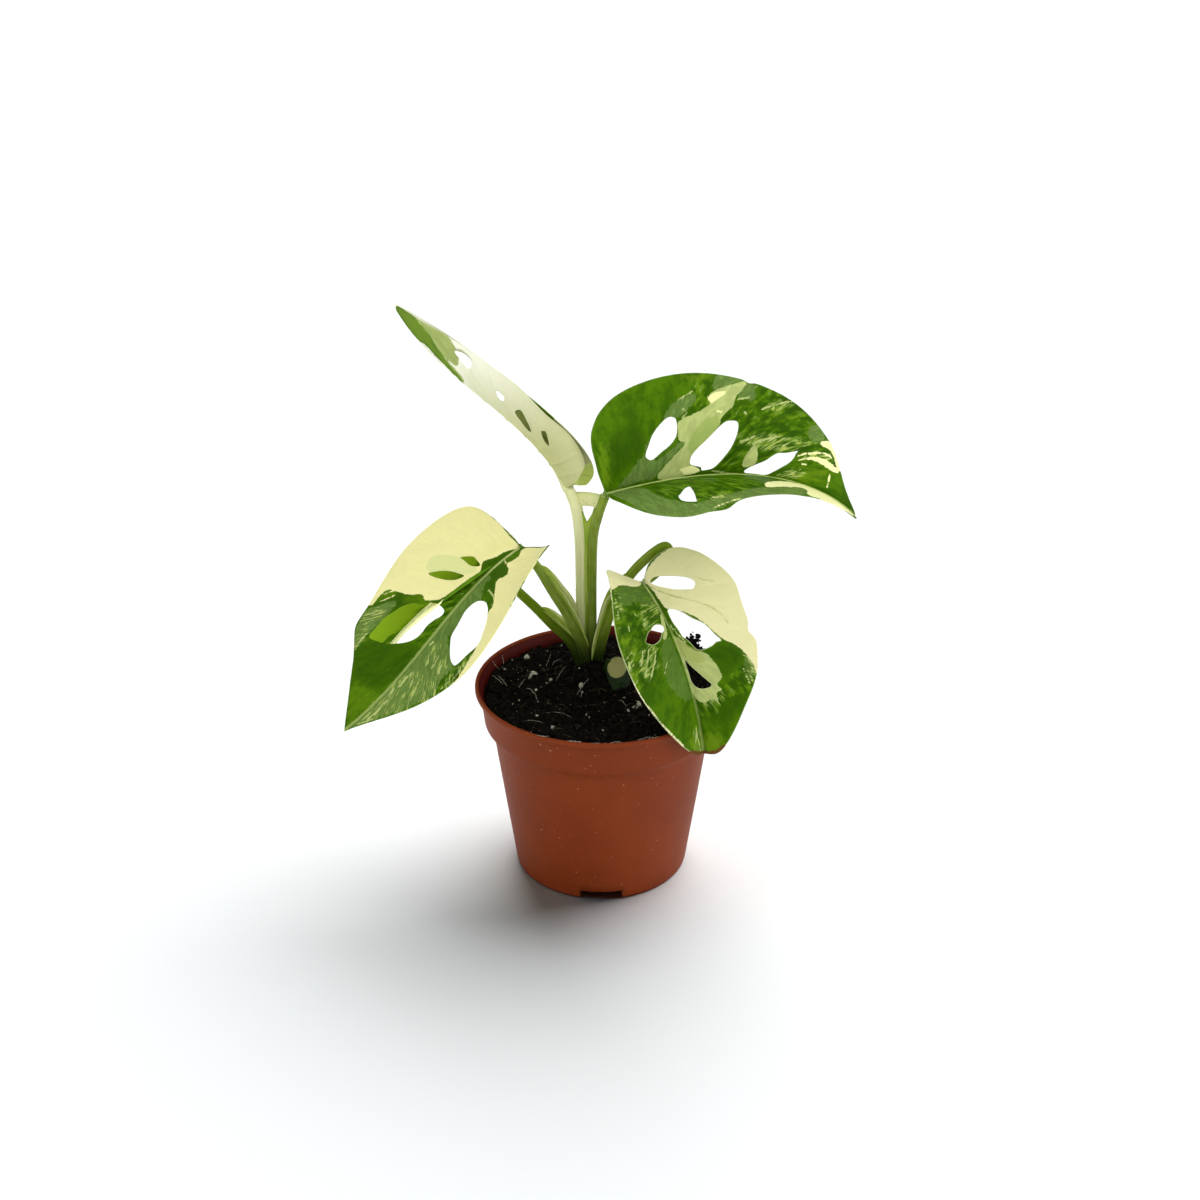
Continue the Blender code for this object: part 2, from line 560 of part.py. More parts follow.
def build_leaf(name):
    """A blade: its flat triangles carried onto the folded and curled surface, alike on both faces."""
    leaf = LEAVES[name]
    flat, triangles = flat_blade(leaf)
    x = np.array([p[0] for p in flat])
    y = np.array([p[1] for p in flat])
    y = np.where(np.abs(y) < 1e-6, 1e-9, y)
    surface = blade_surface(leaf, x, y)
    normal = np.zeros_like(surface)
    for a, b, c in triangles:
        face_normal = np.cross(surface[b] - surface[a], surface[c] - surface[a])
        for corner in (a, b, c):
            normal[corner] += face_normal
    size = np.linalg.norm(normal, axis=1)
    normal /= np.where(size > 0, size, 1)[:, None]
    ridge = MIDRIB_RIDGE * np.exp(-(y / MIDRIB_RIDGE_WIDTH) ** 2) * np.clip(1 - x / leaf["length"], 0, 1)
    upper = surface + normal * (BLADE_THICKNESS / 2)
    under = surface - normal * (BLADE_THICKNESS / 2 + ridge)[:, None]
    count = len(flat)
    faces = [t for t in triangles] + [tuple(i + count for i in reversed(t)) for t in triangles]
    border = {}
    for a, b, c in triangles:
        for edge in ((a, b), (b, c), (c, a)):
            border[edge] = True
    for a, b in border:
        if (b, a) not in border:
            faces += [(b, a, a + count), (b, a + count, b + count)]
    points = [tuple(p) for p in np.vstack([upper, under])]
    used = sorted({i for f in faces for i in f})
    place = {old: new for new, old in enumerate(used)}
    item = make_object(name, [points[i] for i in used], [tuple(place[i] for i in f) for f in faces])
    return finish(item, name)


def main():
    clear_scene()
    build_pot()
    build_soil()
    build_stems()
    for name in LEAVES:
        build_leaf(name)


if __name__ == "__main__":
    main()
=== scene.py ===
"""Looks of the potted variegated monstera adansonii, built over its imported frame.

Lengths in the tables are in millimetres, as in the part's source, and meshes are written in metres.
"""
import math

import bpy
import numpy as np
from mathutils import Matrix


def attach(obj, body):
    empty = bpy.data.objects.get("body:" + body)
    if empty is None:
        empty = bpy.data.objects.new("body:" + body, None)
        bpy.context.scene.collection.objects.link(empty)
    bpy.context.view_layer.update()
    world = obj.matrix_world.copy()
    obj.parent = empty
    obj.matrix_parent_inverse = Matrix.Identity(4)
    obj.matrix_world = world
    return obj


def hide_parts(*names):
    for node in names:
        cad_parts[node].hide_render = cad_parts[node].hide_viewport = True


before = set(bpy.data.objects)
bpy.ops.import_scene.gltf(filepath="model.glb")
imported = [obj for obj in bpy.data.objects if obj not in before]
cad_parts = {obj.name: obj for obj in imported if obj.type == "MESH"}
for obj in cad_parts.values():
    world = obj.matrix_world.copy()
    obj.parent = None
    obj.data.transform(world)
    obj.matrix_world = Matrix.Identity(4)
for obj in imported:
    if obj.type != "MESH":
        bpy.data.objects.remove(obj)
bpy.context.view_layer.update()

MM = .001
# the photo's view comes from -Y: this angle about the pot's axis
FRONT = -math.pi / 2

bl_info = {
    "name": "Potted monstera adansonii",
    "version": (1, 0, 0),
    "blender": (4, 5, 0),
    "location": "View3D > Sidebar > Monstera",
    "description": "Builds the blades, stalks, soil and pot of a variegated monstera over its frame",
    "category": "Object",
}

# Tables

# a side vein starts at this power of its place on the margin, as a share of the midrib
VEIN_SWEEP = 2.4
PLAIN_OUTLINE = [(0, 0), (-.03, .27), (-.02, .66), (.10, .94), (.31, 1), (.57, .84), (.78, .51), (.93, .19),
                 (1, 0)]

# Each blade: base point, length, then heading, pitch, roll, fold and curl at base, middle and tip, in
# degrees. Holes: side, and outline points (along, across). Nicks: side, place on the margin from 0 to 1, half
# width of the nick there and its depth as a share of the half blade's width, below 0 for a bulge. Veins:
# places along the margin.
LEAVES = {
    "leaf_a": dict(
        nicks=(("L", .578, .006, .02), ("R", .45, .03, -.07)),
        base=(2, 1, 190.5), length=152, heading=(41, 25, 26), pitch=(-2, -11, -46), roll=(-32, -32, -35),
        fold={"R": (43, 47, 20), "L": (56, 58, 30)}, curl={"R": (-32, -19, -16), "L": (-27, -22, -23)},
        width={"R": 46, "L": 48},
        outline={"R": [(0, 0), (-.03, .26), (-.01, .65), (.11, .97), (.31, .99), (.56, .84), (.78, .49),
                       (.94, .21), (1, 0)],
                 "L": [(0, 0), (-.03, .28), (-.03, .63), (.09, .92), (.32, 1.02), (.59, .84), (.78, .53),
                       (.91, .16), (1, 0)]},
        holes=[("L", [(38.5, -29.4), (39.6, -27.5), (39.7, -23.4), (39, -20.3), (36, -16.9), (31.4, -14.2),
                 (28.3, -12.1), (25.9, -11.3), (23.4, -12.7), (22.9, -14.6), (24.8, -18.9), (27.3, -23.5),
                 (31.4, -27.4), (35.3, -29.8)]),
               ("L", [(66.5, -26.1), (69.4, -25.9), (70.7, -24.5), (70.6, -20.4), (68.6, -14.2), (65.1, -8.6),
                 (61.3, -4.4), (58.4, -3.1), (54, -2.9), (53.1, -4.5), (48.3, -6), (47.1, -7.7),
                 (47.8, -10.8), (51.1, -14.4), (55.6, -18.1), (60.7, -23.1), (63.9, -25.5)]),
               ("L", [(77.4, -1.7), (78.2, -3), (82.7, -5.5), (87.7, -8), (93, -12), (97.6, -13),
                 (102.3, -14.7), (105.5, -16.2), (103.5, -14.3), (102.7, -11.6), (101, -8.9), (97.3, -5.8),
                 (93.1, -2.8), (89.8, -.9), (83.9, -.9), (79.6, -.9)]),
               ("R", [(33.4, 20.6), (30.3, 21.4), (24.3, 25.7), (21.4, 27.3), (19.8, 30.2), (19.7, 32.5),
                 (21.7, 35.1), (24.9, 37), (26.5, 34.4), (29.8, 28.9), (32.5, 23.5)])]),
    "leaf_b": dict(
        nicks=(("L", .535, .045, .12),),
        base=(-15, 4, 193), length=113, heading=(179, 181, 181), pitch=(66, 41, 64), roll=(0, 0, 0),
        fold={"R": (42, 30, 40), "L": (25, 25, 45)}, curl={"R": (70, 112, 50), "L": (120, 118, 45)},
        width={"R": 14.5, "L": 17},
        outline={"R": [(0, 0), (-.01, .25), (-.03, .65), (.05, 1.1), (.33, 1.2), (.52, 1.02), (.77, .74),
                       (.93, .33), (1, 0)],
                 "L": [(0, 0), (.012, .25), (.035, .6), (.08, .93), (.22, 1.04), (.5, .96), (.77, .76),
                       (.93, .35), (1, 0)]},
        holes=[("L", [(81.1, -10.6), (79.7, -12.4), (77.1, -12.7), (73.8, -12.5), (71.7, -11.4), (70.6, -9.3),
                 (71.2, -8), (74, -8.3), (77.3, -9), (80.1, -9.6)]),
               ("L", [(54.7, -7.9), (54.8, -9), (52.9, -8.9), (51.1, -8.8), (49.8, -7.3), (50.4, -6.3),
                 (52.5, -6.5)]),
               ("L", [(43.1, -6.9), (42.2, -8.8), (40.5, -8.8), (37.9, -7.8), (34.8, -6.5), (31.8, -4.9),
                 (32, -3.6), (34.5, -3.8), (38.1, -4.7), (41.2, -5.6)]),
               ("L", [(28.9, -8.3), (28.2, -9.4), (27, -9.5), (24.5, -8.1), (22.3, -6.7), (22.1, -5.9),
                 (24.2, -5.9), (27.3, -7.1)]),
               ("R", [(57, 5.6), (54, 7.6), (50, 8.2), (46.5, 6.6), (46, 4.6), (49, 3.2), (54, 3.6)]),
               ("R", [(80, 6.6), (77, 9), (73, 9.6), (69, 8.2), (68, 5.8), (71, 4), (76, 4.2)])]),
    "leaf_c": dict(
        nicks=(("R", .218, .014, .1), ("R", .14, .022, -.13), ("R", .64, .035, -.05)),
        base=(-36.5, -5.5, 167.5), length=117, heading=(224, 225, 223), pitch=(-12, -34, -18),
        roll=(8, 8, 12), fold={"R": (8, 6, 10), "L": (13, 4, 1)},
        curl={"R": (7, -15, -10), "L": (52, 22, -1)}, width={"R": 43.5, "L": 36.5},
        outline={"R": [(0, 0), (-.02, .23), (-.02, .7), (.08, .92), (.31, 1.01), (.6, .85), (.77, .52),
                       (.92, .19), (1, 0)],
                 "L": [(0, 0), (-.02, .27), (0, .64), (.11, .92), (.33, 1.02), (.58, .85), (.77, .5),
                       (.91, .17), (1, 0)]},
        holes=[("R", [(35.8, 23.9), (33.4, 21.7), (31.2, 18.7), (29.7, 15.6), (28.8, 12.3), (28.2, 8.1),
                 (31.5, 9.6), (33.9, 12.8), (35.2, 16.8), (35.9, 20.3)]),
               ("R", [(21.7, 16.8), (20.1, 15.5), (18, 12.2), (18.4, 9.8), (19.3, 6.8), (20.4, 6),
                 (22.1, 8.2), (22.5, 10.7), (22, 14)]),
               ("R", [(74.8, 26.7), (68, 27.1), (63.8, 27.2), (58.4, 24.9), (54.6, 23.1), (51.2, 19.5),
                 (49.6, 15.1), (47, 12.4), (45.9, 9), (46.2, 5.9), (47.2, 3.5), (49.7, 2.9), (52.9, 4.4),
                 (56.8, 5.5), (60.7, 5.3), (64.4, 5.9), (67.8, 8), (70.9, 11.6), (73.3, 15.7), (74.5, 19.6)]),
               ("L", [(37.4, -7), (35.5, -9.3), (35.4, -13.5), (37.9, -18.1), (40.5, -20.8), (44.3, -23.9),
                 (49.1, -26.4), (53.4, -28.2), (56.9, -27.6), (61.1, -25.4), (65, -24.1), (67.1, -22.9),
                 (67.1, -20.9), (65.1, -17.2), (60, -12.1), (55.6, -8.8), (50.9, -7.8), (46.7, -6.8),
                 (42, -5.9)])]),
    "leaf_d": dict(
        nicks=(("L", .556, .012, .05), ("L", .585, .018, -.025)),
        base=(19, -8.5, 151), length=85, heading=(-50, -55, -51), pitch=(-32, -56, -80), roll=(1, -9, -20),
        fold={"R": (22, 29, 27), "L": (25, 24, 37)}, curl={"R": (17, -9, -24), "L": (-14, -36, -31)},
        width={"R": 41, "L": 40},
        outline={"R": [(0, 0), (-.04, .28), (-.06, .67), (.12, .92), (.31, 1.01), (.55, .83), (.79, .51),
                       (.96, .19), (1, 0)],
                 "L": [(0, 0), (-.09, .24), (-.08, .63), (.15, .98), (.32, .95), (.6, .84), (.8, .52),
                       (.98, .21), (1, 0)]},
        holes=[("L", [(1, -3.3), (.3, -5.9), (1.7, -9.4), (4, -13.9), (6.1, -17.5), (8.4, -20.4),
                 (10.5, -21.2), (12.1, -19.9), (12.8, -18.4), (11.6, -15), (9.8, -11), (7.2, -7.5),
                 (4.6, -4.7), (2.4, -3.2)]),
               ("L", [(16.9, -3.2), (17.9, -5.9), (20.8, -8.8), (24.7, -11.5), (28.1, -14.9), (31, -16.6),
                 (34.4, -18.1), (37.8, -19.9), (37.8, -17.5), (38.8, -14.5), (39, -10), (38, -7.8),
                 (35.7, -6.7), (32.9, -5.5), (30.6, -4), (26.9, -3.4), (23, -2.6), (19.6, -2.6)]),
               ("R", [(22.2, 7.6), (23.2, 4.2), (25.2, 4.5), (26.4, 7.1), (28.9, 10.2), (30.1, 13.5),
                 (30.5, 17.2), (29.7, 20), (28.9, 21.5), (26.8, 19.4), (25, 16.7), (24.1, 14.2),
                 (22.8, 11.7)]),
               ("L", [(39.9, -.9), (40.7, -.9), (44.9, -3.1), (49.7, -6.1), (52.8, -8.2), (54.4, -9.2),
                 (55.3, -8.3), (55.4, -6.1), (54.9, -3.8), (53.1, -1.8), (50.4, -.9), (47.4, -.9),
                 (43.8, -.9)])]),
    "leaf_e": dict(
        nicks=(("L", .5, .3, -.3),),
        base=(-51, 10, 154), length=80, heading=(208, 214, 218), pitch=(-18, -32, -42), roll=(8, 8, 8),
        fold={"R": (14, 12, 12), "L": (45, 50, 50)}, curl={"R": (-20, -20, -20), "L": (-20, -20, -20)},
        width={"R": 27, "L": 23}, outline={"R": PLAIN_OUTLINE, "L": PLAIN_OUTLINE},
        holes=[("L", [(42, -16.5), (39.5, -16), (34, -11.5), (30.5, -7), (30.6, -5.4), (32.6, -5.2), (38, -9),
                 (42, -13.6)])]),
}
VEINS = (.2, .31, .41, .5, .585, .665, .74, .81, .875)

# Colour zones of each blade, from the base colour up. A zone is (1 to add or -1 to take away, 0 for a closed
# patch or the half width of a streak, points as (along the midrib, across it, right side positive)).
ZONES = {}
ZONES["leaf_a"] = {
    "pale": [
        (1, 0, [(75, -45), (70, -44), (64, -42), (57, -40), (55, -37), (57, -34), (48, -30), (43, -29),
            (40, -27), (40, -23), (40, -18), (44, -18), (42, -15), (37, -11), (33, -7), (28, -2.7), (34, 0),
            (41, 0), (46, -1.9), (54, -2.9), (50, -4), (47, -7), (48, -11), (53, -15), (56, -18), (59, -22),
            (61, -24), (62, -29), (68, -32), (68, -37), (72, -41)]),
        (1, 0, [(75, -4), (76, -10), (79, -14), (81, -15), (83, -11), (83, -7), (82, -5), (79, -4)]),
        (1, .45, [(81.3, -31.9), (86, -33.9), (91.9, -36.4), (96, -37.6)]),
        (1, .4, [(69.7, -36), (74.9, -37)]), (1, .45, [(72.3, -16.3), (76.7, -17.5), (79.7, -19.3)]),
        (1, .5, [(79.5, -15.4), (85.3, -18.1), (91, -19.8)]), (1, .4, [(86.4, -16.7), (90.7, -19.9)]),
        (1, .45, [(73, -30.3), (73.9, -29.3)]), (1, .4, [(59.9, -2.3), (68.9, -.7), (75.3, -.3)]),
        (1, .35, [(41.1, -37.4), (47.8, -40.4)]), (1, .4, [(94.9, -16), (98.5, -18)]),
        (1, .4, [(31.6, 39.1), (35.7, 40)]), (1, .3, [(101.5, -2.6), (105.7, -5.6), (108.6, -6.9)]),
        (1, .4, [(43, -33), (44.9, -31), (42, -28.9)])],
    "tint": [
        (1, 0, [(49, -23), (54, -28), (61, -29), (61, -24), (59, -22), (53, -16), (48, -11), (45, -13),
            (46, -19)])],
    "cream": [
        (1, 0, [(55, -38), (55, -36), (57, -34), (59, -36), (63, -38), (64, -40), (61, -40)]),
        (1, 0, [(41, -5), (44, -1.9), (49, -1.4), (54, -2.9), (50, -5), (47, -6), (44, -5)]),
        (1, .5, [(59.6, -30.5), (61.8, -30.5)]),
        (1, 0, [(104, -11), (113, -15), (119, -16), (124, -15), (130, -14), (130, -12), (124, -12),
            (117, -13), (111, -13), (106, -11)]),
        (1, 0, [(114, -22), (118, -25), (122, -24), (126, -21), (129, -17), (132, -14), (128, -14),
            (125, -18), (121, -21), (116, -21)]),
        (1, .45, [(104.1, -13.1), (112, -16.3), (118.1, -18.3), (123.1, -17.8)]),
        (1, .4, [(107.6, -9.8), (110.3, -10)]), (1, .5, [(126.2, -3.9), (125, -9.5)]),
        (1, 0, [(71, 28), (84, 17), (101, 6), (114, 0), (123, 2.4), (135, 4), (148, 6), (123, 21), (103, 31),
            (90, 36), (101, 21), (99, 18), (82, 30), (67, 36)]),
        (1, .3, [(28.7, 46.1), (36.6, 46), (44.9, 45.4)])],
    "grey": [
        (1, 0, [(-.1, 0), (9, -2.1), (20, -2.1), (28, -2.7), (33, -8), (41, -15), (44, -18), (40, -18),
            (37, -15), (29, -11), (24, -12), (23, -14), (23, -16), (16, -10), (8, -2)]),
        (1, 0, [(22, -16), (26, -22), (32, -28), (34, -32), (38, -36), (42, -38), (49, -40), (49, -36),
            (46, -33), (44, -31), (40, -29), (39, -29), (34, -28), (28, -22), (25, -16)]),
        (1, 0, [(57, -40), (58, -45), (60, -48), (66, -49), (73, -47), (75, -43), (70, -44), (65, -42)]),
        (1, 0, [(69, -36), (72, -41), (74, -44), (78, -44), (78, -39), (77, -35), (73, -37)]),
        (1, 0, [(106, -26), (109, -30), (114, -30), (118, -25), (114, -22), (108, -22)]),
        (1, 0, [(0, 0), (9, 0), (18, 8), (13, 17), (14, 26), (17, 33), (24, 39), (32, 40), (43, 40), (52, 38),
            (68, 35), (91, 24), (102, 18), (89, 37), (75, 44), (58, 44), (45, 47), (26, 48), (12, 45),
            (2, 37), (-4, 23)])],
    "light": [
        (1, 0, [(-2, -22), (4, -22), (3, -18), (1.5, -11.9), (2.2, -3.4), (-.6, -4), (-3, -11.2), (-3, -17)]),
        (1, 0, [(85, -31), (93, -33), (94, -29), (89, -27), (85, -28)]),
        (1, 0, [(102, -1.7), (106, -7), (115, -10), (123, -11), (122, -6), (111, -2.2)]),
        (1, 0, [(44, -49), (57, -48), (57, -45), (49, -44), (44, -46)]),
        (1, 0, [(92, -21), (103, -22), (110, -21), (104, -17), (94, -17)]),
        (1, 0, [(33, 20), (41, 14), (47, 20), (39, 31), (31, 33)])],
    "marble": [
        (1, 0, [(61, -29), (69, -32), (79, -36), (80, -43), (92, -41), (103, -38), (114, -30), (119, -26),
            (127, -20), (132, -13), (118, -14), (104, -11), (104, -15), (92, -11), (83, -5), (78, -2.7),
            (64, -1.5), (60, -2.3), (65, -11), (71, -22), (71, -25), (66, -27), (60, -24)]),
        (1, 0, [(44, -31), (46, -33), (49, -36), (49, -40), (46, -44), (53, -46), (58, -45), (57, -40),
            (55, -37), (57, -34), (48, -30), (43, -29)]),
        (1, 0, [(24, 41), (31, 44), (40, 44), (46, 44), (45, 47), (26, 49), (12, 45), (6, 40), (9, 36),
            (16, 39)]),
        (1, 0, [(18, 9), (42, 7), (79, 21), (69, 34), (52, 38), (43, 40), (25, 38), (19, 31), (15, 25),
            (14, 17)])],
    "dark": [
        (1, 0, [(68, -33), (75, -35), (81, -33), (80, -28), (89, -25), (95, -23), (94, -20), (80, -19),
            (74, -22), (71, -25), (63, -27), (63, -30)]),
        (1, 0, [(88, -36), (92, -39), (102, -35), (107, -26), (103, -23), (91, -28), (89, -34)]),
        (1, 0, [(1.8, -3.4), (9, -9), (15, -11), (23, -18), (21, -29), (9, -28), (1, -22), (3, -17),
            (1.4, -10.3)]),
        (1, 0, [(60, -2.3), (65, -11), (71, -22), (75, -16), (75, -5), (70, -1.6)]),
        (1, 0, [(40, 9), (47, 13), (31, 33), (24, 37), (33, 24)]),
        (1, 0, [(29, 47), (38, 49), (46, 47), (43, 52), (35, 53)]),
        (1, 0, [(136, -3), (138, -8), (152, 0), (144, 0)])],
    "fleck": [
        (1, 0, [(73, -19), (92, -21), (110, -21), (105, -16), (95, -14), (81, -13), (73, -16)]),
        (1, 0, [(80, -33), (97, -39), (98, -37), (83, -31)]),
        (1, 0, [(107, -16), (122, -21), (127, -18), (128, -14), (118, -16), (105, -13)]),
        (1, 0, [(28, 37), (40, 39), (40, 42), (30, 40)]), (1, 0, [(95, -3), (109, -8), (111, -5), (99, 0)])],
}
ZONES["leaf_c"] = {
    "cream": [
        (1, 0, [(.9, 0), (8, 3), (12, 3), (18, 7), (22, 3), (25, 4), (38, 7), (44, 9), (45, 11), (48, 15),
            (46, 17), (46, 20), (49, 24), (50, 32), (51, 37), (55, 38), (60, 38), (61, 37), (62, 42),
            (41, 52), (20, 47), (7, 42), (-2, 35), (-3, 26), (-3, 19), (-1.8, 6.9), (0, 0)]),
        (-1, .5, [(-2.6, 14.3), (-1.7, 10.3)]), (-1, .5, [(-1.2, 9.2), (-1, 5.3), (-.3, 1)]),
        (1, .3, [(58.1, 36), (55.3, 33.5), (52, 30.8)]), (1, .3, [(54, 36.9), (50.8, 33.3)]),
        (1, 0, [(1.2, -2), (-1.4, -7), (0, -24), (13, -35), (31, -37), (45, -38), (53, -37), (68, -34),
            (77, -29), (82, -25), (80, -25), (73, -29), (64, -29), (58, -29), (49, -26), (39, -20), (37, -22),
            (29, -14), (23, -8), (20, -13), (16, -10), (13, -4), (11, -6), (7, -7)]),
        (-1, .35, [(29.2, -10.8), (32.3, -16.5), (34.3, -17.4)]), (1, .35, [(11.1, -.9), (12.8, -4)])],
    "tint": [
        (1, 0, [(30, 29), (26, 27), (24, 22), (21, 16), (23, 12), (21, 6), (25, 5), (28, 9), (30, 16),
            (35, 23), (35, 26)])],
    "pale": [
        (1, .35, [(29.4, -9.7), (31.5, -15.5), (34.1, -19.4), (36.3, -19.3)]),
        (1, .4, [(73, -12), (69.3, -11.6), (66.7, -11)]), (1, .4, [(73.8, -17.8), (70, -15.9)]),
        (1, .35, [(64, -2.4), (62, -3)]), (1, .35, [(87, -4.4), (82.7, -3.9), (78.6, -4.7)]),
        (1, .3, [(96.5, -4.7), (91.8, -3.2), (89, -2.9)]),
        (1, .3, [(107, -3.9), (102.1, -4.5), (95.9, -3.9)]), (1, .3, [(111.1, -2.4), (105.4, -5.7)]),
        (1, .35, [(83.3, 27.5), (77.7, 28.8), (74.3, 28.4)]), (1, .35, [(65.2, 32.3), (62.3, 30.1)]),
        (1, .3, [(67.8, 33.4), (66.7, 32.2)]), (1, .3, [(64.3, -28.8), (59.8, -28.9)]),
        (1, .3, [(73.3, -26.9), (68.3, -27.4)]), (1, .3, [(78.8, -24.2), (74.8, -25.3)]),
        (1, .25, [(32.6, 13.7), (31.6, 11.7)])],
    "grey": [
        (1, 0, [(76, 36), (67, 38), (61, 37), (54, 29), (54, 27), (58, 26), (64, 27), (69, 27), (74, 28),
            (85, 26), (80, 32)]),
        (1, 0, [(21, 0), (23, -5), (28, -4), (34, -10), (36, -9), (40, -7), (49, -9), (55, -7), (59, -10),
            (66, -19), (67, -23), (76, -21), (82, -22), (88, -19), (100, -10), (110, -4), (116, 0), (97, 0),
            (68, 0), (44, 0)])],
    "light": [
        (1, 0, [(60, 38), (55, 38), (51, 37), (49, 32), (51, 29), (55, 33), (59, 35)]),
        (1, 0, [(51, 26), (46, 20), (46, 16), (48, 15), (51, 20), (53, 24)]),
        (1, 0, [(116, 0), (102, 13), (96, 14), (95, 4), (95, 0), (108, 0)]),
        (1, 0, [(116, 0), (99, 0), (85, -2.3), (88, -9), (100, -7), (110, -4)])],
    "marble": [
        (1, 0, [(62, 5), (53, 4), (46, 3), (45, 7), (46, 9), (38, 5), (28, 1.7), (23, 0), (48, 0), (61, 0),
            (66, 1.9), (67, 5)]),
        (1, 0, [(67, -23), (61, -26), (58, -29), (64, -33), (73, -31), (81, -24), (81, -22), (75, -20)]),
        (1, 0, [(69, 0), (60, -2), (61, -11), (67, -18), (74, -17), (80, -11), (94, -8), (103, -5),
            (109, -2.1), (97, 0)])],
    "dark": [
        # the first dark patch is painted shade: deep green where this part of the blade lies in shade
        (1, 0, [(52, 30), (50, 24), (51, 19), (59, 25), (63, 27), (67, 25), (71, 31), (63, 32)]),
        (1, 0, [(76, 25), (72, 12), (66, 2.4), (70, 0), (82, 0), (95, 4), (96, 14), (90, 24), (84, 27)]),
        (1, 0, [(18, 6), (12, 3), (8, 3), (0, 0), (3.3, 0), (7, 0), (20, 0), (23, 4), (23, 6), (21, 4)]),
        (1, 0, [(44, 8), (38, 5), (26, 1.7), (22, 0), (43, 0), (49, 0)]),
        (1, 0, [(20, 0), (15, 0), (13, -4), (16, -11), (20, -13), (22, -8), (26, -10), (34, -21), (38, -21),
            (35, -13), (32, -17), (29, -11), (27, -5)])],
    "fleck": [
        (1, 0, [(82, -7), (76, -10), (77, -19), (81, -25), (89, -20), (97, -14), (101, -9), (95, -8),
            (87, -7)]),
        (1, 0, [(98, 0), (84, -1.4), (76, -5), (79, -10), (90, -8), (101, -7), (107, -4), (110, -2.4)]),
        (1, 0, [(85, 26), (76, 36), (67, 38), (62, 36), (57, 31), (61, 28), (70, 31), (75, 28)]),
        (1, 0, [(74, -12), (68, -14), (67, -19), (75, -21), (77, -18)]),
        (1, 0, [(67, -24), (59, -30), (64, -32), (73, -30), (81, -24)]),
        (1, 0, [(71, -6), (62, -3), (62, -8), (72, -10)])],
}
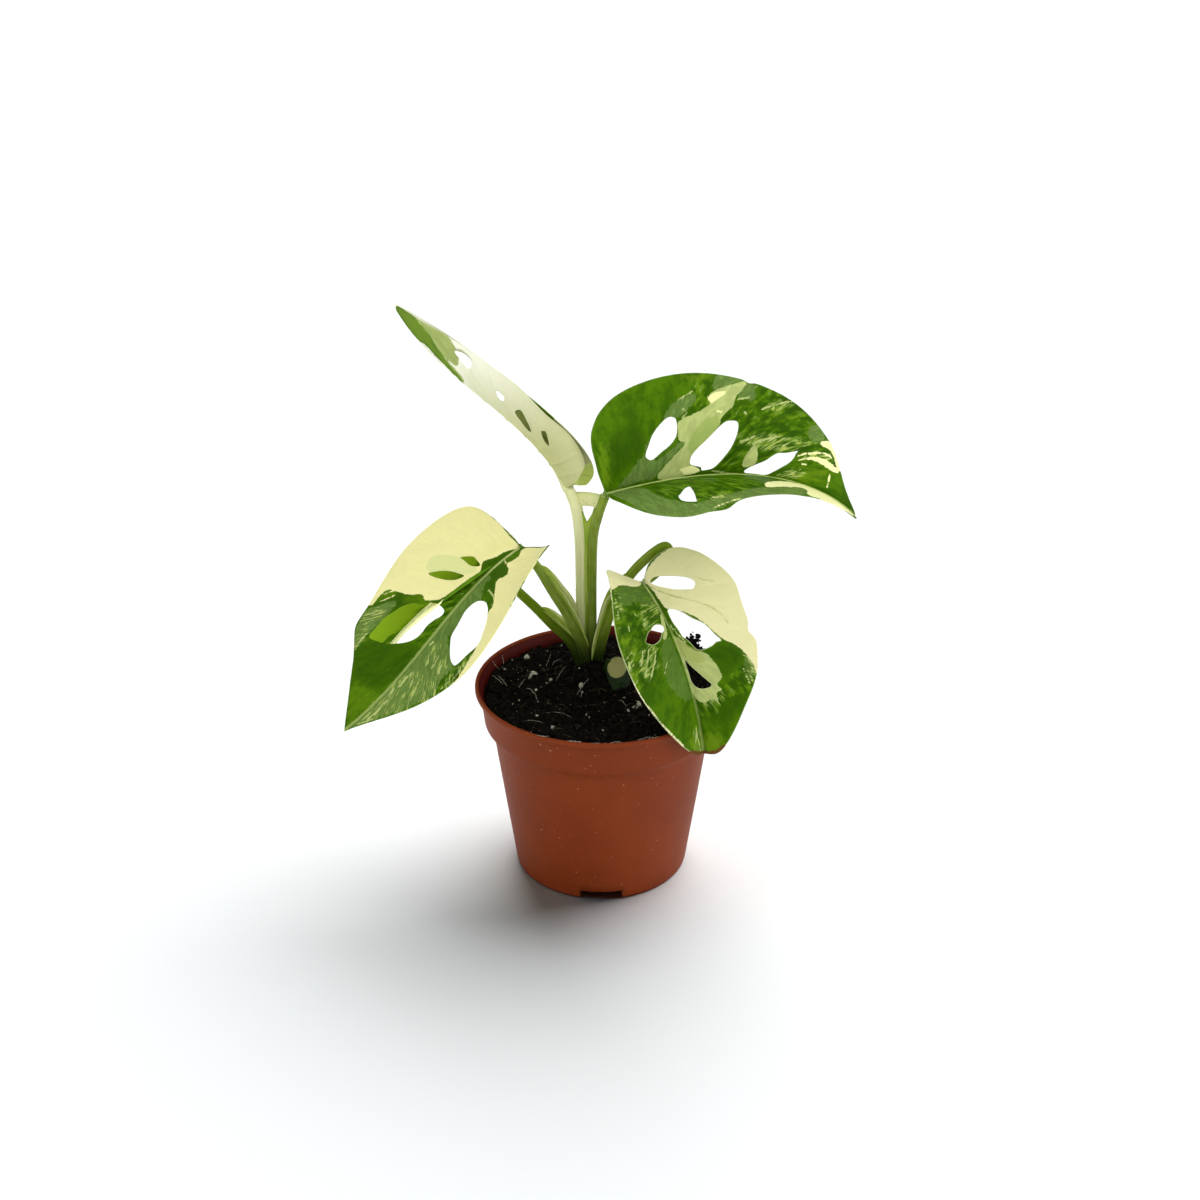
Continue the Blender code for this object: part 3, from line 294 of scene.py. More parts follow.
ZONES["leaf_d"] = {
    "cream": [
        (1, 0, [(0, 0), (-6, -7), (-9, -19), (-8, -25), (1, -36), (12, -42), (26, -41), (38, -36), (44, -38),
            (50, -37), (57, -31), (52, -31), (47, -29), (43, -27), (38, -21), (35, -19), (27, -15), (20, -9),
            (17, -3), (15, -2.2), (7, -1.7), (2.2, -1.4)]),
        (1, 0, [(-5, 29), (-6, 23), (-4, 13), (-.7, 2.1), (1.3, 2.5), (3.1, 10), (2, 23), (6, 34), (5, 36)]),
        (1, .35, [(5.9, 35.8), (16.3, 41.8), (27.4, 42.4), (38.1, 38.8), (50.1, 32.3), (64.7, 22.3),
            (77.2, 12)])],
    "pale": [
        (1, 0, [(27, 0), (33, -3), (38, -6), (40, -10), (42, -12), (48, -14), (53, -15), (55, -11), (58, -14),
            (58, -10), (63, -11), (60, -7), (62, -4), (58, 0), (52, 0), (40, 0), (32, 0)]),
        (1, .3, [(22.7, -.6), (28.4, -2), (33.2, -4.2)]), (1, .35, [(16.5, 22.6), (17.6, 20.7)]),
        (1, .3, [(9.5, 34.3), (13.6, 36.3)]), (1, .3, [(21.2, 31.1), (23.7, 31.5)]),
        (1, .3, [(14, 36.1), (17.6, 36.8)]), (1, .45, [(32.1, 26.2), (37.8, 29.3)]),
        (1, .4, [(31.8, 21.2), (36.8, 24.6), (42.2, 28.3)]), (1, .45, [(33.6, 17.3), (38, 20), (42.9, 24.7)]),
        (1, .35, [(33.1, 37.4), (37.7, 37)]), (1, .3, [(39.1, 11.2), (43.5, 15.2)]),
        (1, .35, [(72.9, 3.5), (78.9, 2.6), (82.9, 2.5)]),
        (1, .3, [(47.7, -28.8), (50.9, -29.9), (53.8, -29.6)]),
        (1, .3, [(51.9, -25.4), (55.3, -25.8), (58.4, -26.3)]), (1, .3, [(55.3, -27.7), (57.3, -28.1)]),
        (1, .35, [(23.2, 17.9), (26.7, 18.1), (29.3, 16.7)]),
        (1, 0, [(17, 2.4), (18, 0), (23, 2.2), (28, 4), (30, 8), (29, 9), (25, 4), (22, 5)])],
    "tint": [
        (1, 0, [(27, 0), (33, -3), (40, -9), (45, -10), (43, -4), (38, 0), (32, 0)]),
        (1, .3, [(3.3, -1.6), (7.6, -4.1), (13.5, -9.8), (17.9, -15.8), (21.6, -20.6), (27.1, -24.8),
            (31.8, -26.2)]),
        (1, .2, [(7.9, -22.1), (11.3, -25.6), (13.3, -29.8)])],
    "grey": [
        (1, 0, [(2, 25), (3.1, 10), (1.1, 1.4), (5.4, 0), (11, 0), (13, 1.8), (13, 13), (10, 14), (13, 28),
            (11, 35)]),
        (1, 0, [(45, -29), (49, -32), (55, -31), (57, -27), (51, -25)]),
        (1, 0, [(30, 10), (28, 2.9), (36, 3), (52, 2.6), (60, 0), (56, 9), (48, 16), (37, 15)])],
    "light": [
        (1, 0, [(75, 10), (76, 3), (76, -8), (83, -8), (84, 0), (81, 7)]),
        (1, 0, [(19, 44), (22, 38), (27, 30), (36, 30), (42, 35), (33, 40), (25, 44)])],
    "marble": [
        (1, 0, [(6, 33), (1.3, 0), (14, 0), (25, 2.1), (34, 12), (45, 23), (49, 32), (37, 40), (27, 43),
            (16, 42)]),
        (1, 0, [(60, 0), (62, -5), (56, -16), (49, -26), (48, -34), (57, -31), (63, -25), (60, -15), (68, -7),
            (66, 0)])],
    "dark": [
        (1, 0, [(-.1, 0), (4.8, 0), (11, 0), (17, 0), (22, 0), (28, 2.9), (25, 4), (16, 2.4), (9, 4)]),
        (1, 0, [(0, 0), (4.7, 0), (17, -3), (24, -2.1), (23, 0), (15, -1.7), (6, 0)]),
        (1, 0, [(14, 37), (14, 21), (23, 18), (26, 16), (31, 27), (27, 35), (21, 41)]),
        (1, 0, [(40, -12), (39, -20), (43, -27), (48, -27), (51, -19), (53, -16), (48, -14)]),
        (1, 0, [(62, 0), (62, -6), (60, -15), (58, -23), (65, -21), (73, -11), (68, -4)])],
    "dry": [
        (1, 1.2, [(81.4, 8), (84, 2.4)]), (1, 1.5, [(85, 0), (84.7, -5.9), (82.5, -9.3)])],
    "fleck": [
        (1, 0, [(12, 15), (10, 2.3), (13, 0), (17, 1.8), (20, 9), (24, 15), (24, 19), (17, 17)]),
        (1, 0, [(31, 27), (31, 19), (33, 14), (38, 18), (44, 23), (44, 29), (38, 31)]),
        (1, 0, [(7, 34), (7, 27), (16, 33), (17, 39)]), (1, 0, [(30, 39), (31, 34), (39, 35), (38, 38)]),
        (1, 0, [(45, -27), (48, -33), (56, -30), (58, -27), (51, -25)]),
        (1, 0, [(58, 0), (57, -11), (58, -14), (64, -11), (63, -5)]),
        (1, 0, [(71, 5), (74, 0), (84, 0), (82, 5)])],
}
ZONES["leaf_b"] = {
    "light": [
        (1, 0, [(114, .6), (109, -4), (104, -7), (98, -9), (90, -6), (83, -5), (70, -2.3), (66, 0), (80, -.9),
            (92, -1.4), (95, .6)]),
        # painted light: this patch brightens the near half in the fold between the halves, which lies in shade
        (1, 0, [(-12, 3), (33, 1), (64, 1), (62, 11), (52, 20), (26, 20), (4, 12), (-12, 24)])],
    "pale": [
        (1, 0, [(106, -6), (97, -13), (88, -13), (79, -11), (74, -5), (80, -4.4), (88, -5.4), (96, -7.6)]),
        (1, .5, [(82.2, -4.5), (69.7, -1.8), (66.3, -1.2)])],
    # painted light: the tint patches brighten the fold between the halves, which lies in shade, and the curled
    # lobe
    "tint": [
        (1, 0, [(16, 0), (64, 0), (62, 9), (16, 9)]), (1, 0, [(-12, 3), (5, 3), (5, 24), (-12, 24)])],
    "dark": [
        (1, 0, [(114, .6), (109, -4), (103, -6), (93, -4), (85, -2.4), (92, -1), (96, .6)])],
    "cream": [
        (1, 0, [(-12, -24), (125, -24), (125, 24), (-12, 24)]),
        (-1, 0, [(114, .6), (109, -4), (104, -7), (98, -9), (90, -6), (83, -5), (70, -2.3), (66, 0),
            (80, -.9), (92, -1.4), (95, .6)]),
        (-1, 0, [(106, -6), (97, -13), (88, -13), (79, -11), (74, -5), (80, -4.4), (88, -5.4), (96, -7.6)]),
        (-1, 0, [(28, 8), (50, 8), (50, 20), (28, 20)]), (-1, 0, [(-12, 5), (4, 5), (4, 24), (-12, 24)])],
}
ZONES["leaf_e"] = {
    "light": [
        (1, 0, [(-8, .5), (80, .5), (80, 30), (-8, 30)])],
    "cream": [
        (1, 0, [(72, .5), (66, -16), (52, -26), (36, -30), (26, -20), (30, .5)])],
    "tint": [
        (1, .5, [(62, -12.5), (50, -17), (37, -17.5), (28, -12)])],
}

# Leaf stalks: points from the crown up into the blade's midrib, each with its radius
STALKS = {
    "a": [(-5, 15, 92, 3.4), (-4.9, 15, 108, 2.8), (-4.8, 14, 128, 2.6), (-4.7, 12, 148, 2.6),
          (-4.1, 9, 167, 2.7), (-1.5, 4.5, 180, 2.6), (1.5, 1.3, 189.3, 2.2)],
    "b": [(-6, 15, 92, 3.4), (-9.2, 15.5, 108, 2.8), (-9.6, 14, 128, 2.5), (-9.7, 12, 148, 2.4),
          (-9.9, 9, 166, 2.6), (-11.1, 6, 181, 2.8), (-14.7, 4.1, 192.1, 2.4)],
    "c": [(-6, 14, 92, 3.4), (-8.5, 13, 107, 2.9), (-16, 8, 127, 2.5), (-22.5, 3, 141, 2.3),
          (-29, -3, 156, 2.1), (-35.6, -6, 166.2, 1.6)],
    "d": [(-4, 14.5, 92, 3.4), (-1, 13.5, 106, 2.9), (5.1, 11.5, 129.8, 2.5), (9.8, 10.5, 139.5, 2.3),
          (14, 10, 147, 2.3), (19.6, 10, 153.6, 2.3), (25.5, 10.5, 158.8, 2.2), (29.8, 11, 160.8, 2.1),
          (31.6, 10, 158.6, 2.0), (29.6, 6, 154.4, 1.9), (24.6, 0, 150.8, 1.8), (19.3, -6.6, 149.5, 1.5)],
    "e": [(-7, 15, 92, 3.4), (-14, 17, 107.5, 2.9), (-24, 18, 117.5, 2.5), (-32, 17, 127, 2.3),
          (-40, 14, 137, 2.2), (-46.5, 11.3, 147, 2.0), (-50.4, 10.1, 152.8, 1.6)],
}
# How pale each stalk is, from green to cream, and a direction that its path never runs along
STALK_LOOKS = {"a": (.2, (0, 1, 0)), "b": (.92, (0, 1, 0)), "c": (.2, (0, 1, 0)), "d": (.15, (.5, -.86, 0)),
               "e": (.05, (0, 1, 0))}
# Sheath wings: stalk, start and end along it, greatest width, direction they lean to
WINGS = [
    ("c", .18, .80, 4.4, (.75, .1, .65)),
    ("e", .12, .46, 3.6, (.55, .1, .85)),
    ("d", .05, .36, 3.6, (-.8, -.2, .5)),
]


def srgb(red, green, blue):
    """Linear red, green and blue of a colour given from 0 to 255."""
    shares = (red / 255, green / 255, blue / 255)
    return tuple(c / 12.92 if c <= .04045 else ((c + .055) / 1.055) ** 2.4 for c in shares)


# Each blade's material slot, cream at its base and at its tip, tint, then strengths of its midrib line, rim,
# painted light gain (the whole blade made lighter or darker for the light it gets), grey zones and light
# zones, and how frayed its cream is
BLADE_LOOKS = {
    "leaf_a": ("leaf_green", srgb(236, 236, 156), srgb(240, 240, 174), srgb(150, 172, 84), 1.0, .08, 1.12,
               .92, .4, .5),
    # on this blade the tint is painted light: a bright yellow green for the shaded fold between its halves
    "leaf_b": ("leaf_cream", srgb(194, 196, 142), srgb(244, 244, 222), srgb(226, 240, 130), 0, 0, 1.0, .9, .6,
               .3),
    "leaf_c": ("leaf_mixed", srgb(236, 231, 163), srgb(236, 231, 163), srgb(212, 220, 150), .4, 0, .98, .8,
               .2, .36),
    "leaf_d": ("leaf_mixed", srgb(232, 227, 172), srgb(232, 227, 172), srgb(164, 172, 92), .25, .7, .95, .45,
               .5, .36),
    "leaf_e": ("leaf_green", srgb(224, 226, 166), srgb(224, 226, 166), srgb(74, 92, 30), 0, 0, 1.5, 0, 1, .3),
}


# Shader maths

class Wire:
    """One output of a shader node. + - and * on it add Math nodes, also with a number on the left."""

    def __init__(self, finish, socket):
        self.finish = finish
        self.socket = socket

    def maths(self, operation, first, second):
        return self.finish.node("ShaderNodeMath", {"operation": operation}, {0: first, 1: second})

    def __add__(self, other):
        return self.maths("ADD", self, other)

    def __sub__(self, other):
        return self.maths("SUBTRACT", self, other)

    def __rsub__(self, other):
        return self.maths("SUBTRACT", other, self)

    def __mul__(self, other):
        return self.maths("MULTIPLY", self, other)

    __radd__ = __add__
    __rmul__ = __mul__


class Finish:
    """The node tree of one material. Constants are set on its shader; what varies is wired to it."""

    def __init__(self, name, constants):
        self.material = bpy.data.materials.new(name)
        self.material.use_nodes = True
        self.tree = self.material.node_tree
        self.shader = self.tree.nodes["Principled BSDF"]
        for socket, value in constants.items():
            self.shader.inputs[socket].default_value = value

    def node(self, kind, settings, sockets, out=0):
        """Adds a node, makes its settings, then fills its sockets with values or wires."""
        node = self.tree.nodes.new(kind)
        for key, value in settings.items():
            setattr(node, key, value)
        for key, value in sockets.items():
            if isinstance(value, Wire):
                self.tree.links.new(value.socket, node.inputs[key])
            else:
                node.inputs[key].default_value = value
        return Wire(self, node.outputs[out])

    def place(self, scale=(1 / MM,) * 3):
        """Object coordinates, in millimetres unless another scale is given for their three parts."""
        return self.stretch(self.node("ShaderNodeTexCoord", {}, {}, "Object"), scale)

    def read(self, name, out="Fac"):
        """A value that the mesh holds at its points."""
        return self.node("ShaderNodeAttribute", {"attribute_name": name}, {}, out)

    def stretch(self, vector, amounts):
        return self.node("ShaderNodeVectorMath", {"operation": "MULTIPLY"}, {0: vector, 1: amounts})

    def shift(self, vector, other):
        return self.node("ShaderNodeVectorMath", {"operation": "ADD"}, {0: vector, 1: other})

    def part(self, vector, number):
        """The first, second or third part of a vector, numbered from 0."""
        return self.node("ShaderNodeSeparateXYZ", {}, {0: vector}, number)

    def noise(self, vector, scale, detail=2.0, rough=.5, out="Fac"):
        sockets = {"Vector": vector, "Scale": scale, "Detail": detail, "Roughness": rough}
        return self.node("ShaderNodeTexNoise", {}, sockets, out)

    def cells(self, vector, scale, feature="F1", out="Distance"):
        return self.node("ShaderNodeTexVoronoi", {"feature": feature}, {"Vector": vector, "Scale": scale}, out)

    def step(self, value, low, high):
        """0 below low, 1 above high, and a smooth step between them."""
        sockets = {"Value": value, "From Min": low, "From Max": high}
        return self.node("ShaderNodeMapRange", {"interpolation_type": "SMOOTHSTEP"}, sockets)

    def mix(self, factor, first, second):
        """Colour that goes from first to second as factor goes from 0 to 1."""
        sockets = {0: factor, 6: colour_value(first), 7: colour_value(second)}
        return self.node("ShaderNodeMix", {"data_type": "RGBA"}, sockets, 2)

    def shade(self, factor, colour, dark, light):
        """A colour multiplied by a grey that goes from dark to light as factor goes from 0 to 1."""
        grey = self.mix(factor, (dark,) * 3, (light,) * 3)
        settings = {"data_type": "RGBA", "blend_type": "MULTIPLY"}
        return self.node("ShaderNodeMix", settings, {0: 1.0, 6: colour, 7: grey}, 2)

    def done(self, colour, roughness, height, strength, distance):
        """Wires colour, roughness and a bump of that height, strength and distance in metres; gives the
        material."""
        normal = self.node("ShaderNodeBump", {}, {"Height": height, "Strength": strength, "Distance": distance})
        for socket, value in (("Base Color", colour), ("Roughness", roughness), ("Normal", normal)):
            self.tree.links.new(value.socket, self.shader.inputs[socket])
        return self.material


def colour_value(colour):
    return colour if isinstance(colour, Wire) else (*colour[:3], 1.0)


# Shapes

def grid_faces(rows, columns, closed=False):
    """Quads of a grid whose points are numbered row by row; a closed one joins its last column to its
    first."""
    i = np.arange(rows - 1)[:, None] * columns
    j = np.arange(columns if closed else columns - 1)[None, :]
    k = (j + 1) % columns
    return np.stack([i + j, i + k, i + k + columns, i + j + columns], -1).reshape(-1, 4)


def fan(pole, ring):
    """Triangles from one point to each pair of neighbours on a ring."""
    return np.stack([np.full(len(ring), pole), ring, np.roll(ring, -1)], 1)


def closed_rows(rows, columns):
    """Faces of closed rings numbered row by row, and of two points after them that close the first and last
    ring."""
    count = rows * columns
    return [grid_faces(rows, columns, closed=True)[:, ::-1], fan(count, np.arange(columns)),
            fan(count + 1, np.arange(count - columns, count)[::-1])]


def circle(count):
    """Angles of places spaced evenly round a circle."""
    return 2 * math.pi * np.arange(count) / count


def around(angle, side, other):
    """Directions cos(angle) side + sin(angle) other, for every angle of each pair."""
    return np.cos(angle)[..., None] * side[..., None, :] + np.sin(angle)[..., None] * other[..., None, :]


def make_mesh(name, points, faces, material, values=None, sharp=None):
    """A smooth-shaded object at the origin from points in millimetres.

    faces is a list of arrays of corner numbers, one row a face. values maps attribute names to one number or
    vector a point. sharp is an array of point pairs whose edges stay sharp."""
    mesh = bpy.data.meshes.new(name)
    faces = [f for f in faces if len(f)]
    totals = np.concatenate([np.full(len(f), f.shape[1]) for f in faces])
    corners = np.concatenate([f.ravel() for f in faces])
    mesh.vertices.add(len(points))
    mesh.vertices.foreach_set("co", (np.asarray(points) * MM).astype(np.float32).ravel())
    mesh.loops.add(len(corners))
    mesh.loops.foreach_set("vertex_index", corners.astype(np.int32))
    mesh.polygons.add(len(totals))
    mesh.polygons.foreach_set("loop_start", np.concatenate([[0], np.cumsum(totals)[:-1]]).astype(np.int32))
    mesh.polygons.foreach_set("loop_total", totals.astype(np.int32))
    mesh.polygons.foreach_set("use_smooth", np.ones(len(totals), bool))
    mesh.update(calc_edges=True)
    for key, value in (values or {}).items():
        value = np.asarray(value, np.float32)
        vector = value.ndim == 2
        layer = mesh.attributes.new(key, "FLOAT_VECTOR" if vector else "FLOAT", "POINT")
        layer.data.foreach_set("vector" if vector else "value", value.ravel())
    if sharp is not None:
        ends = np.empty(len(mesh.edges) * 2, np.int32)
        mesh.edges.foreach_get("vertices", ends)
        count = len(points)
        key = ends.reshape(-1, 2).min(1).astype(np.int64) * count + ends.reshape(-1, 2).max(1)
        wanted = sharp.min(1).astype(np.int64) * count + sharp.max(1)
        mesh.attributes.new("sharp_edge", "BOOLEAN", "EDGE").data.foreach_set("value", np.isin(key, wanted))
    mesh.materials.append(material)
    item = bpy.data.objects.new(name, mesh)
    bpy.context.scene.collection.objects.link(item)
    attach(item, "root")
    return item


def border(faces):
    """Directed edges of a sheet that only one of its faces holds."""
    pairs = np.concatenate([np.stack([f, np.roll(f, -1, 1)], -1).reshape(-1, 2)
                            for f in faces]).astype(np.int64)
    count = pairs.max() + 1
    forward, back = pairs[:, 0] * count + pairs[:, 1], pairs[:, 1] * count + pairs[:, 0]
    return pairs[~np.isin(forward, back)]


def shell(upper, under, faces):
    """Closes two layers of the same sheet: the faces, the same faces turned round on the second layer, and a
    wall along every border edge. Gives points, faces and the pairs of points whose edges stay sharp."""
    count = len(upper)
    edge = border(faces)
    a, b = edge.T
    wall = np.stack([b, a, a + count, b + count], 1)
    turned = [f[:, ::-1] + count for f in faces]
    return np.concatenate([upper, under]), [*faces, *turned, wall], np.concatenate([edge, edge + count])


def compact(points, faces, values):
    """Leaves out points that no face uses, such as those inside a hole."""
    used = np.unique(np.concatenate([f.ravel() for f in faces]))
    place = np.zeros(len(points), np.int64)
    place[used] = np.arange(len(used))
    return points[used], [place[f] for f in faces], {k: v[used] for k, v in values.items()}


def smooth_path(controls, where):
    """Catmull-Rom curve through control rows, read at parameters from 0 to 1."""
    rows = np.array(controls, float)
    last = len(rows) - 1
    padded = np.vstack([2 * rows[0] - rows[1], rows, 2 * rows[-1] - rows[-2]])
    place = np.clip(np.asarray(where, float), 0, 1) * last
    index = np.minimum(place.astype(int), last - 1)
    t = (place - index)[..., None]
    a, b, c, d = padded[index], padded[index + 1], padded[index + 2], padded[index + 3]
    return .5 * (2 * b + (c - a) * t + (2 * a - 5 * b + 4 * c - d) * t ** 2 + (3 * b - a - 3 * c + d) * t ** 3)


LATTICE = 64


def cloud(x, y, size, seed):
    """Smooth random field from -1 to 1: values drawn on a lattice of that size and blended with
    3t^2 - 2t^3."""
    values = np.random.default_rng(seed).uniform(-1, 1, (LATTICE, LATTICE))
    u, v = x / size, y / size
    i, j = np.floor(u).astype(int), np.floor(v).astype(int)
    s, t = u - i, v - j
    s, t = s * s * (3 - 2 * s), t * t * (3 - 2 * t)
    near, far = i % LATTICE, (i + 1) % LATTICE
    low, high = j % LATTICE, (j + 1) % LATTICE
    return ((values[near, low] * (1 - s) + values[far, low] * s) * (1 - t)
            + (values[near, high] * (1 - s) + values[far, high] * s) * t)


def unit(vectors):
    return vectors / np.maximum(np.linalg.norm(vectors, axis=-1, keepdims=True), 1e-9)


def tube(controls, rings, sides, guide, squash=0.0):
    """A stalk along a smooth path of (x, y, z, radius), closed by a point at each end.

    At angle q a point lies at centre + r (cos q side + sin q other), where side is at right angles to the
    path and to the guide direction. r is the radius less a share squash exp(-((q - a quarter turn) / 0.5)^2),
    the groove."""
    where = np.linspace(0, 1, rings)
    path = smooth_path(controls, where)
    centre, radius = path[:, :3], path[:, 3]
    tangent = unit(np.gradient(centre, axis=0))
    side = unit(np.cross(tangent, guide))
    other = np.cross(side, tangent)
    angle = circle(sides)
    groove = 1 - squash * np.exp(-((angle - math.pi / 2) / .5) ** 2)
    points = centre[:, None] + (radius[:, None] * groove)[..., None] * around(angle, side, other)
    ends = np.stack([centre[0] - .5 * radius[0] * tangent[0], centre[-1] + .5 * radius[-1] * tangent[-1]])
    along = np.concatenate([[0], np.cumsum(np.linalg.norm(np.diff(centre, axis=0), axis=1))])
    flow = np.stack([np.repeat(along, sides), np.tile(angle, rings), np.repeat(where, sides)], 1)
    flow = np.vstack([flow, [[0, 0, 0], [along[-1], 0, 1]]])
    return np.vstack([points.reshape(-1, 3), ends]), closed_rows(rings, sides), flow


def join(parts):
    """Several (points, faces, values) put in one list of points and faces."""
    points, faces, values, first = [], [], {}, 0
    for part_points, part_faces, part_values in parts:
        points.append(part_points)
        faces += [f + first for f in part_faces]
        for key, value in part_values.items():
            values.setdefault(key, []).append(value)
        first += len(part_points)
    return np.concatenate(points), faces, {k: np.concatenate(v) for k, v in values.items()}


# Blades

# steps along a midrib, and points on each side of a hole's outline
RIB_STEPS, HOLE_STEPS = 160, 8
# how far a colour zone's depth goes outside it, and how far apart the two halves of a blade lie in its flow,
# in mm
OUTSIDE, HALVES_APART = -20.0, 300
# heights in mm of a blade's quilting between side veins and of its slow waves, and a side vein's share of the
# groove
QUILT, WAVE, SIDE_GROOVE = .16, .35, .2


def three(values, x):
    """Quadratic through values given at 0, 1/2 and 1."""
    a, b, c = values
    return a * (1 - x) * (1 - 2 * x) + b * 4 * x * (1 - x) + c * x * (2 * x - 1)


def blade_frame(leaf):
    """The midrib's shares, points and directions: ahead, to the right and up, from heading, pitch and
    roll."""
    u = np.linspace(0, 1, RIB_STEPS + 1)
    heading, pitch, roll = (np.radians(three(leaf[k], u)) for k in ("heading", "pitch", "roll"))
    ahead = np.stack([np.cos(pitch) * np.cos(heading), np.cos(pitch) * np.sin(heading), np.sin(pitch)], 1)
    level = unit(np.stack([ahead[:, 1], -ahead[:, 0], 0 * u], 1))
    above = np.cross(level, ahead)
    right = np.cos(roll)[:, None] * level + np.sin(roll)[:, None] * above
    up = np.cos(roll)[:, None] * above - np.sin(roll)[:, None] * level
    steps = (ahead[1:] + ahead[:-1]) / 2 * leaf["length"] / RIB_STEPS
    rib = np.array(leaf["base"], float) + np.vstack([np.zeros(3), np.cumsum(steps, 0)])
    return u, rib, ahead, right, up


def blade_points(leaf, x, y):
    """Points of the blade's middle surface for places x along the midrib and y across it.

    The half blade is an arc in the plane across the midrib: it leaves at the fold angle and turns by the curl
    over its width. With h as half its turn, a point lies |y| sin(h) / h from the midrib, towards
    cos(fold + h) right + sin(fold + h) up."""
    u, rib, ahead, right, up = blade_frame(leaf)
    share = np.clip(x / leaf["length"], 0, 1)

    def read(rows):
        return np.stack([np.interp(share, u, rows[:, k]) for k in range(3)], -1)

    def sided(values):
        return np.where(y >= 0, three(values["R"], share), three(values["L"], share))

    fold = np.radians(sided(leaf["fold"]))
    curl = sided(leaf["curl"]) / np.where(y >= 0, leaf["width"]["R"], leaf["width"]["L"])
    half_turn = np.radians(curl) * np.abs(y) / 2
    reach = np.abs(y) * np.sinc(half_turn / math.pi)
    outward = (reach * np.cos(fold + half_turn) * np.sign(y))[..., None] * read(right)
    lift = (reach * np.sin(fold + half_turn))[..., None] * read(up)
    return read(rib) + np.minimum(x, 0)[..., None] * ahead[0] + outward + lift


def margin(leaf, side, s):
    """Flat points of a half blade's margin at s: a smooth curve through the outline, drawn in by each nick's
    share depth exp(-((s - middle) / width)^2) of its distance from the midrib."""
    points = (smooth_path(leaf["outline"][side], s)
              * (leaf["length"], leaf["width"][side] * (1 if side == "R" else -1)))
    for where, middle, width, depth in leaf.get("nicks", ()):
        if where == side:
            points[:, 1] *= 1 - depth * np.exp(-((s - middle) / width) ** 2)
    return points


def blade_grid(leaf, step):
    """Flat places of a blade's grid points and their parameters.

    Row s runs from the midrib at s^2.4 to the outline's point at s, as a side vein does; rows are evenly
    spaced along the margin. Columns run from -1 at the left margin over 0 at the midrib to 1 at the right
    margin."""
    fine = np.linspace(0, 1, 801)
    gaps = sum(np.linalg.norm(np.diff(margin(leaf, side, fine), axis=0), axis=1) for side in "RL") / 2
    arc = np.concatenate([[0], np.cumsum(gaps)])
    rows = int(arc[-1] / step) + 2
    s = np.interp(np.linspace(0, arc[-1], rows), arc, fine)
    rib = s ** VEIN_SWEEP * leaf["length"]
    edge = {side: margin(leaf, side, s) for side in "RL"}
    longest = max(np.hypot(edge[side][:, 0] - rib, edge[side][:, 1]).max() for side in "RL")
    half = int(longest / step) + 1
    across = np.linspace(-1, 1, 2 * half + 1)
    share = np.abs(across) ** .9
    to_right = across >= 0
    x = np.where(to_right, rib[:, None] + (edge["R"][:, :1] - rib[:, None]) * share,
                 rib[:, None] + (edge["L"][:, :1] - rib[:, None]) * share)
    y = np.where(to_right, edge["R"][:, 1:] * share, edge["L"][:, 1:] * share)
    return s, across, x, y, np.interp(s, fine, arc)


def hole_curve(points):
    """A closed Catmull-Rom curve through a hole's outline points, and its middle."""
    ring = np.array(points, float)
    count = len(ring)
    wrapped = np.vstack([ring[-2:], ring, ring[:2]])
    curve = smooth_path(wrapped, np.linspace(2, count + 2, HOLE_STEPS * count, endpoint=False) / (count + 3))
    x, y = ring.T
    weight = (x * np.roll(y, -1) - np.roll(x, -1) * y)[:, None]
    return curve, (weight * (ring + np.roll(ring, -1, 0))).sum(0) / (3 * weight.sum())


def hole_depth(x, y, curve, centre):
    """Distance of places from a hole's middle over the curve's distance in that direction: 1 on the hole's
    edge."""
    turn, reach = np.arctan2(*(curve - centre).T[::-1]), np.hypot(*(curve - centre).T)
    order = np.argsort(turn)
    p, q = x - centre[0], y - centre[1]
    return np.hypot(p, q) / np.interp(np.arctan2(q, p), turn[order], reach[order], period=2 * math.pi)


def open_hole(x, y, faces, curve, centre):
    """Cuts a hole into a flat grid: faces whose middle lies in it go, and the points around it move onto its
    edge."""
    inside = hole_depth(x[faces].mean(1), y[faces].mean(1), curve, centre) < 1
    ring = np.intersect1d(faces[inside], faces[~inside])
    depth = hole_depth(x[ring], y[ring], curve, centre)
    x[ring] = centre[0] + (x[ring] - centre[0]) / depth
    y[ring] = centre[1] + (y[ring] - centre[1]) / depth
    return faces[~inside]


def from_lines(x, y, starts, ends):
    """Distance of flat places from the nearest of several straight lines."""
    nearest = np.full(len(x), 1e9)
    for (ax, ay), (bx, by) in zip(starts, ends):
        dx, dy = bx - ax, by - ay
        t = np.clip(((x - ax) * dx + (y - ay) * dy) / max(dx * dx + dy * dy, 1e-9), 0, 1)
        nearest = np.minimum(nearest, np.hypot(x - ax - t * dx, y - ay - t * dy))
    return nearest


def patch_depth(x, y, width, points):
    """How deep places lie in a patch, in mm, negative outside: a closed patch of straight sides, or a
    streak."""
    a = np.array(points, float)
    b = np.roll(a, -1, 0)
    if width:
        a, b = a[:-1], b[:-1]
    else:
        a, b = round_off(a)
    nearest = from_lines(x, y, a, b)
    if width:
        return width - nearest
    inside = np.zeros(len(x), bool)
    for (ax, ay), (bx, by) in zip(a, b):
        crosses = (ay > y) != (by > y)
        inside ^= crosses & (x < (bx - ax) * (y - ay) / (by - ay if by != ay else 1e-9) + ax)
    return np.where(inside, nearest, -nearest)


def round_off(corners):
    """Cuts each corner of a closed patch twice at a quarter of its sides, and gives the sides' starts and
    ends."""
    for _ in range(2):
        after = np.roll(corners, -1, 0)
        corners = np.stack([.75 * corners + .25 * after, .25 * corners + .75 * after], 1).reshape(-1, 2)
    return corners, np.roll(corners, -1, 0)


def zone_depth(x, y, zones):
    """How deep places lie in a colour zone made of patches that add to it or take away from it."""
    depth = np.full(len(x), OUTSIDE)
    for sign, width, points in zones:
        found = patch_depth(x, y, width, points)
        depth = np.maximum(depth, found) if sign > 0 else np.minimum(depth, -found)
    return depth


